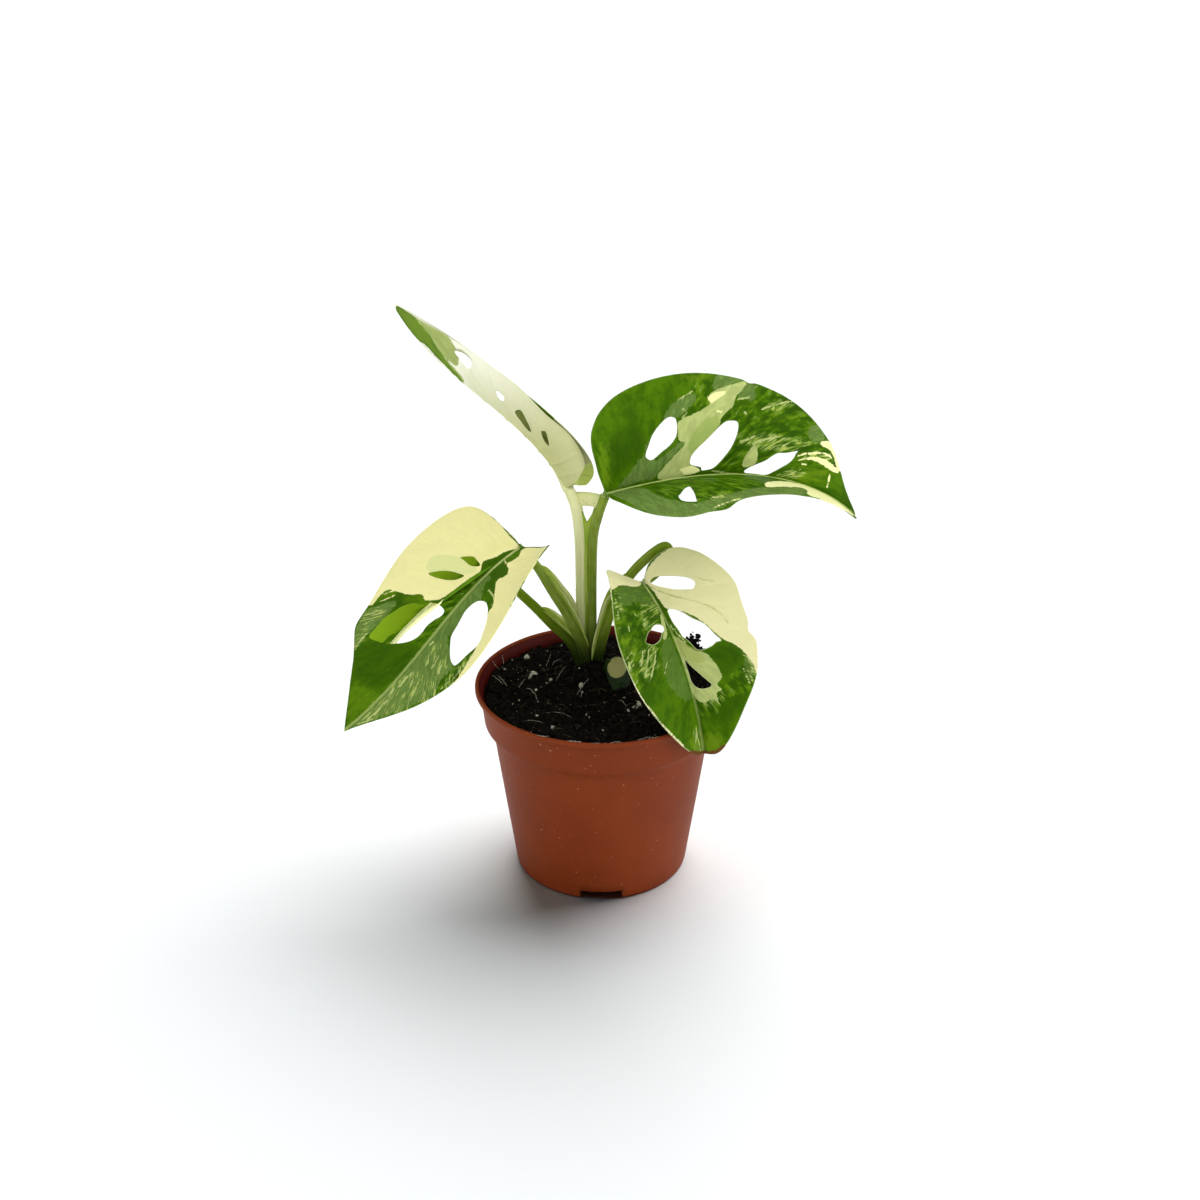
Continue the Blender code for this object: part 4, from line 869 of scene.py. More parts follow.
def build_blade(name, settings):
    """A blade: its grid with holes, carried onto the folded and curled surface, with grooves along its veins.

    Both sides stand half the thickness off the middle surface, less near an edge, and a ridge under each vein
    adds to the lower one. Its values are depths in colour zones and distances from veins, midrib and edge,
    all in mm."""
    leaf = LEAVES[name]
    s, across, x, y, arc = blade_grid(leaf, settings.grid_step)
    rows, columns = x.shape
    flat_x, flat_y = x.ravel().copy(), y.ravel().copy()
    quads = grid_faces(rows, columns)
    for _, outline in leaf["holes"]:
        quads = open_hole(flat_x, flat_y, quads, *hole_curve(outline))
    # the first and last rows are single points, so their quads become triangles on them
    point = np.arange(rows * columns)
    point[:columns] = columns // 2
    point[-columns:] = rows * columns - 1 - columns // 2
    quads = point[quads]
    first, last = (quads == columns // 2).sum(1) == 2, (quads == point[-1]).sum(1) == 2
    faces = [quads[~first & ~last], quads[first][:, 1:], quads[last][:, :3]]

    spacing = np.hypot(np.gradient(x, s, axis=0), np.gradient(y, s, axis=0))
    from_vein = np.abs(s[:, None, None] - np.array(VEINS)).min(-1) * spacing
    share = np.abs(across)[None, :] * np.ones_like(x)
    from_rib = np.abs(flat_y)
    from_edge = edge_distance(flat_x, flat_y, leaf)
    depth = settings.vein_depth
    fade = np.clip(from_edge / 5, 0, 1)
    side_valley = (np.exp(-(from_vein / .8) ** 2) * (share < .93)).ravel() * fade
    valley = depth * np.exp(-(from_rib / 1.1) ** 2) + SIDE_GROOVE * depth * side_valley
    quilt = QUILT * np.sin(np.clip(from_vein.ravel() / 5, 0, math.pi / 2)) * np.clip(from_rib / 6, 0, 1) * fade
    wave = WAVE * cloud(flat_x, flat_y, 17, 3 + len(leaf["holes"])) * np.clip(from_rib / 10, 0, 1)

    middle = blade_points(leaf, flat_x, flat_y)
    normal = point_normals(middle, faces)
    middle = middle + normal * (wave + quilt - valley)[:, None]
    half = settings.thickness / MM / 2 * np.clip(.45 + from_edge / 2.5, .45, 1)
    ridge = 1.1 * np.exp(-(from_rib / 1.5) ** 2) * np.clip(1 - flat_x / leaf["length"], 0, 1)
    ridge = ridge + .25 * (np.exp(-(from_vein / .7) ** 2)).ravel() * fade
    upper, under = middle + normal * half[:, None], middle - normal * (half + ridge)[:, None]

    across_veins = np.sign(flat_y) * (np.repeat(arc, columns) + HALVES_APART)
    flow = np.stack([across_veins, (share * half_lengths(x, y)).ravel(), flat_x], 1)
    values = {"flow": flow, "vein": from_vein.ravel(), "rib": from_rib, "edge": from_edge}
    for kind in ("cream", "pale", "tint", "fleck", "grey", "marble", "light", "dark", "dry"):
        values[kind] = zone_depth(flat_x, flat_y, ZONES[name].get(kind, []))
    both, faces, values = compact(np.hstack([upper, under]), faces, values)
    points, faces, sharp = shell(both[:, :3], both[:, 3:], faces)
    values = {key: np.concatenate([value, value]) for key, value in values.items()}
    values["under"] = np.repeat([0.0, 1.0], len(both))
    return points, faces, values, sharp


def half_lengths(x, y):
    """Length of each row's half, from midrib to margin, in mm, at each place of a grid."""
    half = x.shape[1] // 2
    left = np.hypot(x[:, 0] - x[:, half], y[:, 0])
    right = np.hypot(x[:, -1] - x[:, half], y[:, -1])
    return np.where(np.arange(x.shape[1])[None, :] < half, left[:, None], right[:, None])


def edge_distance(x, y, leaf):
    """Distance of flat places from the margin or the nearest hole, in mm."""
    steps = np.linspace(0, 1, 161)
    ring = np.vstack([margin(leaf, "R", steps), margin(leaf, "L", steps)[-2:0:-1]])
    nearest = from_lines(x, y, ring, np.roll(ring, -1, 0))
    for _, points in leaf["holes"]:
        curve, _ = hole_curve(points)
        nearest = np.minimum(nearest, from_lines(x, y, curve, np.roll(curve, -1, 0)))
    return nearest


def point_normals(points, faces):
    """Unit normals of points from the areas of the faces around them."""
    normal = np.zeros_like(points)
    for face in faces:
        cross = np.cross(points[face[:, 1]] - points[face[:, 0]], points[face[:, -1]] - points[face[:, 0]])
        for corner in face.T:
            np.add.at(normal, corner, cross)
    return unit(normal)


# Pot

# Outside and inside of the wall as (height, radius), from the foot to the lip
OUTER_WALL = [(0, 41), (.4, 41.8), (1.6, 42.15), (3, 42.36), (4.8, 42.6), (20, 44.7), (40, 47.5), (60, 50.2),
              (71, 51.7), (74, 52.1), (76.2, 53.2), (77, 55.1), (77.4, 55.75), (78.1, 56), (85, 56.72),
              (92.4, 57.5), (93.2, 58), (93.3, 59.4), (93.9, 60), (95.2, 60), (95.8, 59.7), (96, 59.3)]
INNER_WALL = [(4.6, 40.1), (4.8, 40.7), (5.4, 41.1), (5.6, 41.3), (5.8, 41.35), (21, 43.35), (40, 45.95),
              (60, 48.8), (70, 50.2), (73.4, 50.7), (76.4, 51.9), (78, 53.6), (78.6, 54.6), (79.4, 54.75),
              (86, 55.4), (92.2, 56.3), (93.2, 56.9), (94, 57.6), (94.6, 58), (95.2, 58.25), (95.8, 58.5),
              (96, 58.8)]
CENTRE_FOOT, FOOT_RADIUS, FLOOR_UNDER, FLOOR_TOP = 7, 38.4, 3, 4.6
# a notch lifts the foot ring and this many rows of the outside wall
NOTCH_COUNT, NOTCH_TOP, NOTCH_ROWS = 3, 4.6, 4
DRAIN_COUNT, DRAIN_RING, DRAIN_RADIUS = 6, 33, 3.5
POT_COLUMNS = 240


def pot_columns(half):
    """Angles of the pot's columns: two at each notch edge stand on the edge itself, so that it stays sharp.

    half is half a notch's angle."""
    angle = circle(POT_COLUMNS)
    for middle in FRONT + circle(NOTCH_COUNT):
        for edge in (-half, half):
            target = (middle + edge) % (2 * math.pi)
            near = np.argsort(np.abs((angle - target + math.pi) % (2 * math.pi) - math.pi))[:2]
            angle[near] = target + np.where(angle[near] > target, 1e-4, -1e-4)
    return angle


def build_pot(settings):
    """The pot as two layers over one polar grid: the underside and outside wall, and the floor and inside
    wall.

    Row by row the radius grows over the floor and then follows the wall profile. Drain holes are circles. In
    a notch the foot ring is lifted to the floor's underside, and from there up to the notch's top at the
    outside wall."""
    half = math.asin(settings.notch_width / MM / 2 / OUTER_WALL[0][1])
    angle, columns = pot_columns(half), POT_COLUMNS
    floor_rows = np.concatenate([np.linspace(0, CENTRE_FOOT, 8)[1:], [CENTRE_FOOT + .8],
                                 np.linspace(8.8, FOOT_RADIUS, 26)])
    outer = ([(0 if r <= CENTRE_FOOT else FLOOR_UNDER, r) for r in floor_rows]
             + [(.6, 38.6), (0, 39)] + OUTER_WALL)
    inner = [(FLOOR_TOP, r) for r in floor_rows] + [(FLOOR_TOP, 38.8), (FLOOR_TOP, 39.4)] + INNER_WALL
    outer, inner = np.array(outer), np.array(inner)
    wall = len(floor_rows) + 2
    outer, inner, places = finer_rows(outer, inner, wall)
    rows = len(outer)
    height, radius = outer[:, :1] + 0 * angle, outer[:, 1:]
    part = 2 * math.pi / NOTCH_COUNT
    offset = np.abs((angle - FRONT + part / 2) % part - part / 2)
    row = np.arange(rows)[:, None]
    foot = (offset < half) & (row >= len(floor_rows)) & (row < places[NOTCH_ROWS])
    lifted = FLOOR_UNDER + (NOTCH_TOP - FLOOR_UNDER) * np.clip((radius - 40) / 2, 0, 1)
    height = np.where(foot, np.maximum(height, lifted), height)
    faces = grid_faces(rows, columns, closed=True)[:, ::-1]
    count = len(floor_rows) * columns
    on_floor = (faces < count).all(1)
    flat_faces, wall_faces = faces[on_floor], faces[~on_floor]
    ray = np.stack([np.cos(angle), np.sin(angle)], -1)
    round_out, round_in = ((layer[:, 1, None, None] * ray).reshape(-1, 2) for layer in (outer, inner))
    x, y = round_out[:count].T.copy()
    for turn in FRONT + circle(DRAIN_COUNT):
        centre = DRAIN_RING * np.array([math.cos(turn), math.sin(turn)])
        flat_faces = open_hole(x, y, flat_faces, centre + DRAIN_RADIUS * ray, centre)
    round_out[:count] = round_in[:count] = np.stack([x, y], 1)
    outside = np.vstack([np.column_stack([round_out, height.ravel()]), [[0, 0, 0]]])
    inside = np.vstack([np.column_stack([round_in, np.repeat(inner[:, 0], columns)]), [[0, 0, FLOOR_TOP]]])
    faces = [flat_faces, wall_faces, fan(rows * columns, np.arange(columns))]
    both, faces, _ = compact(np.hstack([inside, outside]), faces, {})
    return shell(both[:, :3], both[:, 3:], faces)


def finer_rows(outer, inner, wall):
    """Adds rows between far wall rows, on both profiles alike, and tells where the first wall rows now
    stand."""
    rows, places = [0], []
    for i in range(1, len(outer)):
        steps = int(math.dist(outer[i], outer[i - 1]) // 4) + 1 if i > wall else 1
        rows += [i - 1 + (k + 1) / steps for k in range(steps)]
        if i >= wall:
            places.append(len(rows) - 1)
    index = np.arange(len(outer))
    fine = [np.stack([np.interp(rows, index, layer[:, k]) for k in (0, 1)], 1) for layer in (outer, inner)]
    return fine[0], fine[1], places


# Soil

SOIL_LEVEL, SOIL_RADIUS = 90.8, 56
LUMP_COUNT = 70


def mound(x, y, top, spread):
    """Height of a round mound over flat places, 1 at its top: exp(-distance^2 / spread)."""
    return np.exp(-((x - top[0]) ** 2 + (y - top[1]) ** 2) / spread)


def soil_height(x, y):
    """Height of the soil's surface in mm: a dished plain with ripples, rounded lumps and finer crumbling."""
    height = SOIL_LEVEL - (np.hypot(x, y) / SOIL_RADIUS) ** 4
    height = height + .55 * np.sin(.31 * x + 1.3) * np.cos(.27 * y) + .35 * np.sin(.63 * x - .5 * y)
    dice = np.random.default_rng(5)
    for _ in range(LUMP_COUNT):
        turn, away = dice.uniform(0, 2 * math.pi), 52 * math.sqrt(dice.uniform())
        size, tall = dice.uniform(2.2, 5.5), dice.uniform(-.6, 1.5)
        height = height + tall * mound(x, y, (away * math.cos(turn), away * math.sin(turn)), size ** 2)
    # the heap at the back right, and the mound around the crown
    height = height + 6 * mound(x, y, (42, 32), 40) + 9.5 * mound(x, y, (-3, 10), 110)
    for size, tall, seed in ((4.6, .9, 10), (2.4, .7, 11), (1.3, .5, 12), (.8, .3, 13)):
        height = height + tall * (1 - 2 * np.abs(cloud(x, y, size, seed)))
    return height


def build_soil():
    """A closed body: a polar grid of the surface height, then down the inside of the wall to a flat
    bottom."""
    columns, rings = 260, 96
    angle = circle(columns)
    radius = 55.4 * np.linspace(0, 1, rings + 1)[1:] ** .85
    x, y = radius[:, None] * np.cos(angle), radius[:, None] * np.sin(angle)
    z = soil_height(x, y)
    # the last ring lies against the wall, with small gaps
    ragged = .35 + .35 * cloud(angle * 55, angle * 0 + 3, 2.3, 4)
    x[-1], y[-1] = (SOIL_RADIUS - ragged) * np.cos(angle), (SOIL_RADIUS - ragged) * np.sin(angle)
    z[-1] = z[-2] - .5
    top = np.stack([x, y, z], -1).reshape(-1, 3)
    lower = [(86, 55.2), (79.8, 54.4), (78.4, 53.2), (75.6, 51.3), (73, 50.3), (40, 45.6), (6.2, 40.8),
             (5, 39.6)]
    side = [np.column_stack([r * np.cos(angle), r * np.sin(angle), np.full(columns, h)]) for h, r in lower]
    points = np.vstack([top, *side, [[0, 0, soil_height(np.zeros(1), np.zeros(1))[0]], [0, 0, lower[-1][0]]]])
    return points, closed_rows(rings + len(lower), columns)


def ball(rings, sides):
    """Points and faces of a unit ball: rings of (sin p cos q, sin p sin q, cos p) between two poles."""
    p = math.pi * np.arange(1, rings + 1)[:, None] / (rings + 1)
    q = circle(sides)
    middle = np.stack([np.sin(p) * np.cos(q), np.sin(p) * np.sin(q), np.cos(p) + 0 * q], -1)
    return np.vstack([middle.reshape(-1, 3), [[0, 0, 1], [0, 0, -1]]]), closed_rows(rings, sides)


def copies(points, faces):
    """Points and faces of many bodies alike, from an array of each body's points and the faces of one."""
    first = np.arange(len(points))[:, None, None] * points.shape[1]
    return points.reshape(-1, 3), [(f[None] + first).reshape(-1, f.shape[1]) for f in faces]


def on_disc(dice, count, radius):
    """Random places spread evenly over a disc."""
    turn, away = dice.uniform(0, 2 * math.pi, count), radius * np.sqrt(dice.uniform(0, 1, count))
    return away * np.cos(turn), away * np.sin(turn)


def scatter(places, sizes, turns, rough, shape, seed):
    """Copies of a ball at many places, each stretched by its sizes, made uneven and turned. All copies at
    once."""
    points, faces = shape
    dice = np.random.default_rng(seed)
    uneven = 1 + rough * dice.uniform(-1, 1, (len(places), len(points), 1))
    bodies = points[None] * uneven * sizes[:, None, :]
    (ca, cb), (sa, sb) = np.cos(turns).T, np.sin(turns).T
    zero = 0 * ca
    spin = np.array([[ca, -sa, zero], [sa * cb, ca * cb, -sb], [sa * sb, ca * sb, cb]])
    return copies(np.einsum("ijn,nkj->nki", spin, bodies) + places[:, None, :], faces)


def strands(starts, steps, thick, sides=4):
    """Many fibres at once: each a thin tube through points that wander from its start, closed at both
    ends."""
    count, length = steps.shape[:2]
    path = starts[:, None] + np.concatenate([np.zeros((count, 1, 3)), np.cumsum(steps, 1)], 1)
    tangent = unit(np.gradient(path, axis=1))
    side = unit(np.cross(tangent, np.array([.13, .21, 1.0])))
    other = np.cross(side, tangent)
    taper = thick[:, None] * np.sin(np.linspace(.35, math.pi - .35, length + 1)) ** .5
    rings = path[:, :, None] + taper[..., None, None] * around(circle(sides), side, other)
    points = np.concatenate([rings.reshape(count, -1, 3), path[:, :1], path[:, -1:]], 1)
    return copies(points, closed_rows(length + 1, sides))


# Grains that the photo shows, as (x, y, radius)
GRAINS = [
    (-36.5, 27.4, 1.3), (-32.5, 12.7, 1.9), (-33.9, 11.3, 1.1), (-24.1, 3.6, 1.3), (-31, -2.4, .6),
    (-38.7, -11.3, .6), (-41.3, -15.2, .5), (-29.7, -25.6, .7), (-22.5, -36.8, .9), (10.7, -11.3, .6),
    (15.7, -19, 1.1), (17.6, -16.1, 1.2), (12.6, -21.9, .8), (.8, -39.5, .5), (1.2, -47.6, .8),
    (-9.6, -1.4, 1.3), (-9.1, -5.4, .7), (-6.1, -25.6, 1), (-5.5, -28.6, .7), (45, 34, .9), (48, 31, .8),
    (43, 36.5, .7), (49.5, 32, .7), (-47, 20, .6), (-44, 30, .5)]
# Pale roots over the soil and lint on the lip, from (x, y, z) to (x, y, z); a height under 5 is over the soil
THREADS = np.array([
    (-25.6, -23.8, .4, -13.5, -29.4, .6), (-21.7, 3.6, .3, -17.7, 21.1, 1.5),
    (-27.5, 22.1, .4, -25.3, 29.5, 2.5), (-50, 40, 4.5, -48, 22, .6), (-55.5, 26, 96, -48.5, 17, .5),
    (-53, 14, .5, -47, 4, 2.5), (-44.5, .6, .5, -50, 12, 1), (-41, -6, .4, -37, 8, 2),
    (-36, -31, .4, -26, -35, .8), (-30, -14, .4, -35, -3, 1.5), (-12, -10, .3, -6, 1, .8),
    (-9.3, -5, .4, -9.1, -12, .4), (8, -14, .3, 13, -18, 1), (19, -20, .3, 15, -15, 1.5),
    (-20, 30, .4, -24, 20, 2), (16, -56.6, 96.2, 22, -54.6, 96.3), (21, -55.2, 96.2, 26, -53.4, 96),
    (4, -58.8, 96.1, 9, -58.2, 96.2), (-15, -57, 96.1, -9, -58.2, 96.2), (-29, -51.6, 96.1, -24, -54, 96.2),
    (-4, -58.8, 96.2, 1, -58.6, 96.1)])
SMALL_GRAINS = 80


def build_crumbs(dice, count):
    """Loose crumbs over the soil, and a share of them on the heap at the back right, on and inside the
    lip."""
    x, y = on_disc(dice, count, 55)
    heap = dice.uniform(0, 1, count) < .16
    x = np.where(heap, 46.5 + dice.normal(0, 3.8, count), x)
    y = np.where(heap, 33 + dice.normal(0, 3.4, count), y)
    keep = np.hypot(x, y) < np.where(heap, 58.6, 55)
    x, y, heap = x[keep], y[keep], heap[keep]
    size = .25 + 1.2 * dice.uniform(0, 1, len(x)) ** 3
    pile = dice.uniform(0, 10, len(x)) * mound(x, y, (46, 33), 44)
    on_lip = np.where(np.hypot(x, y) > 54.8, 96.6 + size * .5, 0)
    places = np.column_stack([x, y, np.maximum(soil_height(x, y) + size * .25 + heap * pile, on_lip * heap)])
    sizes = size[:, None] * dice.uniform(.6, 1.3, (len(x), 3))
    return scatter(places, sizes, dice.uniform(0, 2 * math.pi, (len(x), 2)), .28, ball(2, 5), 78)


def build_fibres(dice, count):
    """Loose fibres that wander over the soil; those that would leave it are left out."""
    x, y = on_disc(dice, count, 52)
    starts = np.column_stack([x, y, soil_height(x, y) + .15])
    heading = dice.uniform(0, 2 * math.pi, (count, 1)) + np.cumsum(dice.normal(0, .35, (count, 6)), 1)
    stride = dice.uniform(.35, 1.5, (count, 1))
    rise = dice.normal(0, .22, (count, 6)) + np.array([.35, .2, 0, -.1, -.2, -.3])
    steps = np.stack([np.cos(heading) * stride, np.sin(heading) * stride, rise * stride], -1)
    ends = starts[:, None, :2] + np.cumsum(steps[..., :2], 1)
    kept = (np.hypot(ends[..., 0], ends[..., 1]) < 54.5).all(1)
    return strands(starts[kept], steps[kept], dice.uniform(.06, .16, kept.sum()))


def build_threads(dice):
    """The threads as uneven arches, flatter ones on the lip."""
    ends = THREADS.reshape(-1, 2, 3).copy()
    ends[..., 2] += np.where(ends[..., 2] < 5, soil_height(ends[..., 0], ends[..., 1]), 0)
    first, last = ends[:, 0], ends[:, 1]
    steps = np.repeat((last - first)[:, None] / 8, 8, 1) + dice.normal(0, .2, (len(first), 8, 3)) * (1, 1, .5)
    steps[..., 2] += np.where(first[:, 2:] > 95.5, .15, 1) * np.array([.4, .3, .2, .05, -.05, -.2, -.3, -.4])
    return strands(first, steps, dice.uniform(.09, .17, len(first)))


def build_grains(dice):
    """White grains: those that the photo shows, and small ones at random."""
    x, y = on_disc(dice, SMALL_GRAINS, 53)
    small = np.column_stack([x, y, .15 + .3 * dice.uniform(0, 1, SMALL_GRAINS) ** 2])
    x, y, size = np.vstack([GRAINS, small]).T
    places = np.column_stack([x, y, soil_height(x, y) + size * .4])
    sizes = size[:, None] * dice.uniform(.7, 1.25, (len(size), 3))
    return scatter(places, sizes, dice.uniform(0, 6.28, (len(size), 2)), .24, ball(5, 9), 79)


# Stalks and sheaths

def build_stalks(settings):
    """All leaf stalks as grooved tubes, with how pale each one is at each of its points."""
    parts = []
    for key, controls in STALKS.items():
        pale, guide = STALK_LOOKS[key]
        points, faces, flow = tube(controls, settings.rings, 28, guide, settings.groove)
        parts.append((points, faces, {"flow": flow, "pale": np.full(len(points), pale)}))
    return join(parts)


def build_midribs():
    """The stalk's end under each blade: a tube that starts on the stalk and thins out along the midrib's
    underside."""
    parts = []
    for key, name in zip("abcde", LEAVES):
        _, rib, _, _, up = blade_frame(LEAVES[name])
        stalk = np.array(STALKS[key])
        pale, guide = STALK_LOOKS[key]
        take = [0, 6, 14, 26, 44]
        run = rib[take] - up[take] * np.array([1.5, 1.25, 1.0, .8, .5])[:, None]
        first = stalk[-1, :3] * .85 + stalk[-2, :3] * .15
        controls = np.vstack([np.append(first, stalk[-1, 3]),
                              np.column_stack([run, [1.5, 1.35, 1.1, .85, .3]])])
        points, faces, flow = tube(controls, 40, 20, guide)
        parts.append((points, faces, {"flow": flow, "pale": np.full(len(points), pale * .6 + .3)}))
    return join(parts)


def build_wings():
    """Sheath wings, with the youngest sheath's lip and web.

    At a place t along the stalk a wing reaches from the stalk's middle towards its lean, by 0.6 of the
    stalk's radius and (half its radius + width) (4 t (1 - t))^0.6 more, and curls a little."""
    parts = []
    for key, start, end, width, lean in WINGS:
        where = np.linspace(start, end, 90)
        path = smooth_path(STALKS[key], where)
        centre, radius = path[:, :3], path[:, 3]
        tangent = unit(np.gradient(centre, axis=0))
        out = np.array(lean, float)
        out = unit(out - (tangent @ out)[:, None] * tangent)
        other = np.cross(tangent, out)
        t = np.linspace(0, 1, 90)
        reach = radius * .6 + (radius * .5 + width) * (4 * t * (1 - t)) ** .6
        v = np.linspace(0, 1, 12)
        ruffle = .35 * np.sin(9 * t + 2) + .25 * np.sin(23 * t)
        for turn, share in ((.34, 1.0), (-.5, .8)):
            bend = turn + .25 * v[None, :] * np.sign(turn) + .12 * ruffle[:, None] * v[None, :] ** 2
            far = share * reach[:, None] * v[None, :]
            middle = centre[:, None] + far[..., None] * around(bend, out, other)
            parts.append(sheet_part(middle, .32, t[:, None] * 60, far))
    return join([*parts, build_lip(), build_web()])


def build_lip():
    """The youngest sheath's lip: a curved strip that arches between the two upright stalks."""
    where = np.linspace(0, 1, 40)
    top = smooth_path([(-11.6, 4.4, 190.4), (-5.8, 1.4, 191.4), (.2, 1.9, 190)], where)
    v = np.linspace(0, 1, 14)[:, None]
    drop = np.stack([.2 + 0 * where, .8 + 0 * where, -8 + 4.8 * where * (1 - where)], 1)
    middle = top[:, None] + v * drop[:, None] - .35 * np.sin(math.pi * v) * (0, 1, 0)
    return sheet_part(middle, .6, where[:, None] * 12, 4 * v[:, 0] + 5)


def build_web():
    """The web between the two upright stalks, from one's middle to the other's, with a notch in its top
    edge."""
    where, level = np.linspace(0, 1, 24), np.linspace(0, 1, 60)
    foot, dip, notch = 112, 175, 22
    tall = foot + (dip + notch * np.abs(where - .5) - foot)[:, None] * level
    left, right = (np.array([c[:3] for c in STALKS[key]]) for key in "ba")
    ends = [np.stack([np.interp(tall, rows[:, 2], rows[:, k]) for k in (0, 1)] + [tall], -1)
            for rows in (left, right)]
    middle = ends[0] + (ends[1] - ends[0]) * where[:, None, None] - (0, 1.2, 0)
    return sheet_part(middle, .8, tall, 2.6)


def sheet_part(middle, thick, along, far):
    """A closed thin sheet about a grid of middle points, half the thickness to each side.

    along and far are the first two parts of its flow: how far along the stalk, and how far out from it."""
    flow = np.stack(np.broadcast_arrays(along, far, np.zeros(middle.shape[:2])), -1)
    faces = [grid_faces(*middle.shape[:2])]
    points = middle.reshape(-1, 3)
    normal = point_normals(points, faces)
    both, faces, _ = shell(points + normal * thick / 2, points - normal * thick / 2, faces)
    return both, faces, {"flow": np.vstack([flow.reshape(-1, 3)] * 2)}


def build_crown():
    """Rootstock and crown as one uneven tube, and the bud's tip as another, running into each other."""
    runs = [([(-5, 14.5, 76, 6.6), (-5, 14.5, 86, 6.8), (-5, 14.8, 93, 6.2), (-5, 15, 99, 4.6)], 60, 36),
            ([(0, 10, 84, 3.2), (2, 8, 95, 2.6), (3.6, 6.6, 103.5, 1.1)], 30, 18)]
    parts = []
    for controls, rings, sides in runs:
        points, faces, flow = tube(controls, rings, sides, (0, 1, 0))
        uneven = 1 + .05 * cloud(points[:, 2], np.arctan2(points[:, 1] - 14, points[:, 0] + 5) * 6, 2.2, 21)
        centre = points.mean(0)
        points = np.column_stack([centre[:2] + (points[:, :2] - centre[:2]) * uneven[:, None], points[:, 2]])
        parts.append((points, faces, {"flow": flow, "pale": np.full(len(points), .1)}))
    return join(parts)


def build_cut_stem():
    """The old stem's stub: a tube whose rings shrink to a point on its cut, inside a thin raised rim.

    Over its last 12 mm the height grows, more and more, by 0.68 of the distance back from the middle, so that
    the cut is slanted."""
    rings, sides = 70, 48
    path = smooth_path([(8, 4, 76, 5.6), (8.5, 3.4, 90, 5.6), (7.5, 3.2, 101.2, 4.9)],
                       np.linspace(0, 1, rings))
    centre, radius = path[:, :3], path[:, 3]
    tangent = unit(np.gradient(centre, axis=0))
    # rings of the cut, as their share of the last radius and their lift over the stem's end
    caps = np.array([(.99, .12), (.955, .2), (.92, .05), (.86, -.12), (.6, -.2), (.3, -.1)])
    centre = np.vstack([centre, centre[-1] + tangent[-1] * caps[:, 1:]])
    radius = np.concatenate([radius, radius[-1] * caps[:, 0]])
    tangent = np.vstack([tangent, np.tile(tangent[-1], (len(caps), 1))])
    side = unit(np.cross(tangent, (0, 1, 0)))
    other = np.cross(side, tangent)
    angle = circle(sides)
    bumps = 1 + .035 * cloud(angle[None, :] * 6 + 40, centre[:, 2:] + 0 * angle, 2.4, 31)
    points = centre[:, None] + (radius[:, None] * bumps)[..., None] * around(angle, side, other)
    points = np.vstack([points.reshape(-1, 3), centre[:1], centre[-1:]])
    top = centre[-1]
    slant, last = .68, 12
    points[:, 2] += slant * (points[:, 1] - top[1]) * np.clip((points[:, 2] - top[2] + last) / last, 0, 1)
    cut = np.concatenate([np.repeat(np.arange(len(centre)) >= rings + 2, sides).astype(float), [0, 1]])
    ring = np.concatenate([np.repeat(radius, sides), [0, 0]])
    return points, closed_rows(len(centre), sides), {"cut": cut, "ring": ring}


# Finishes

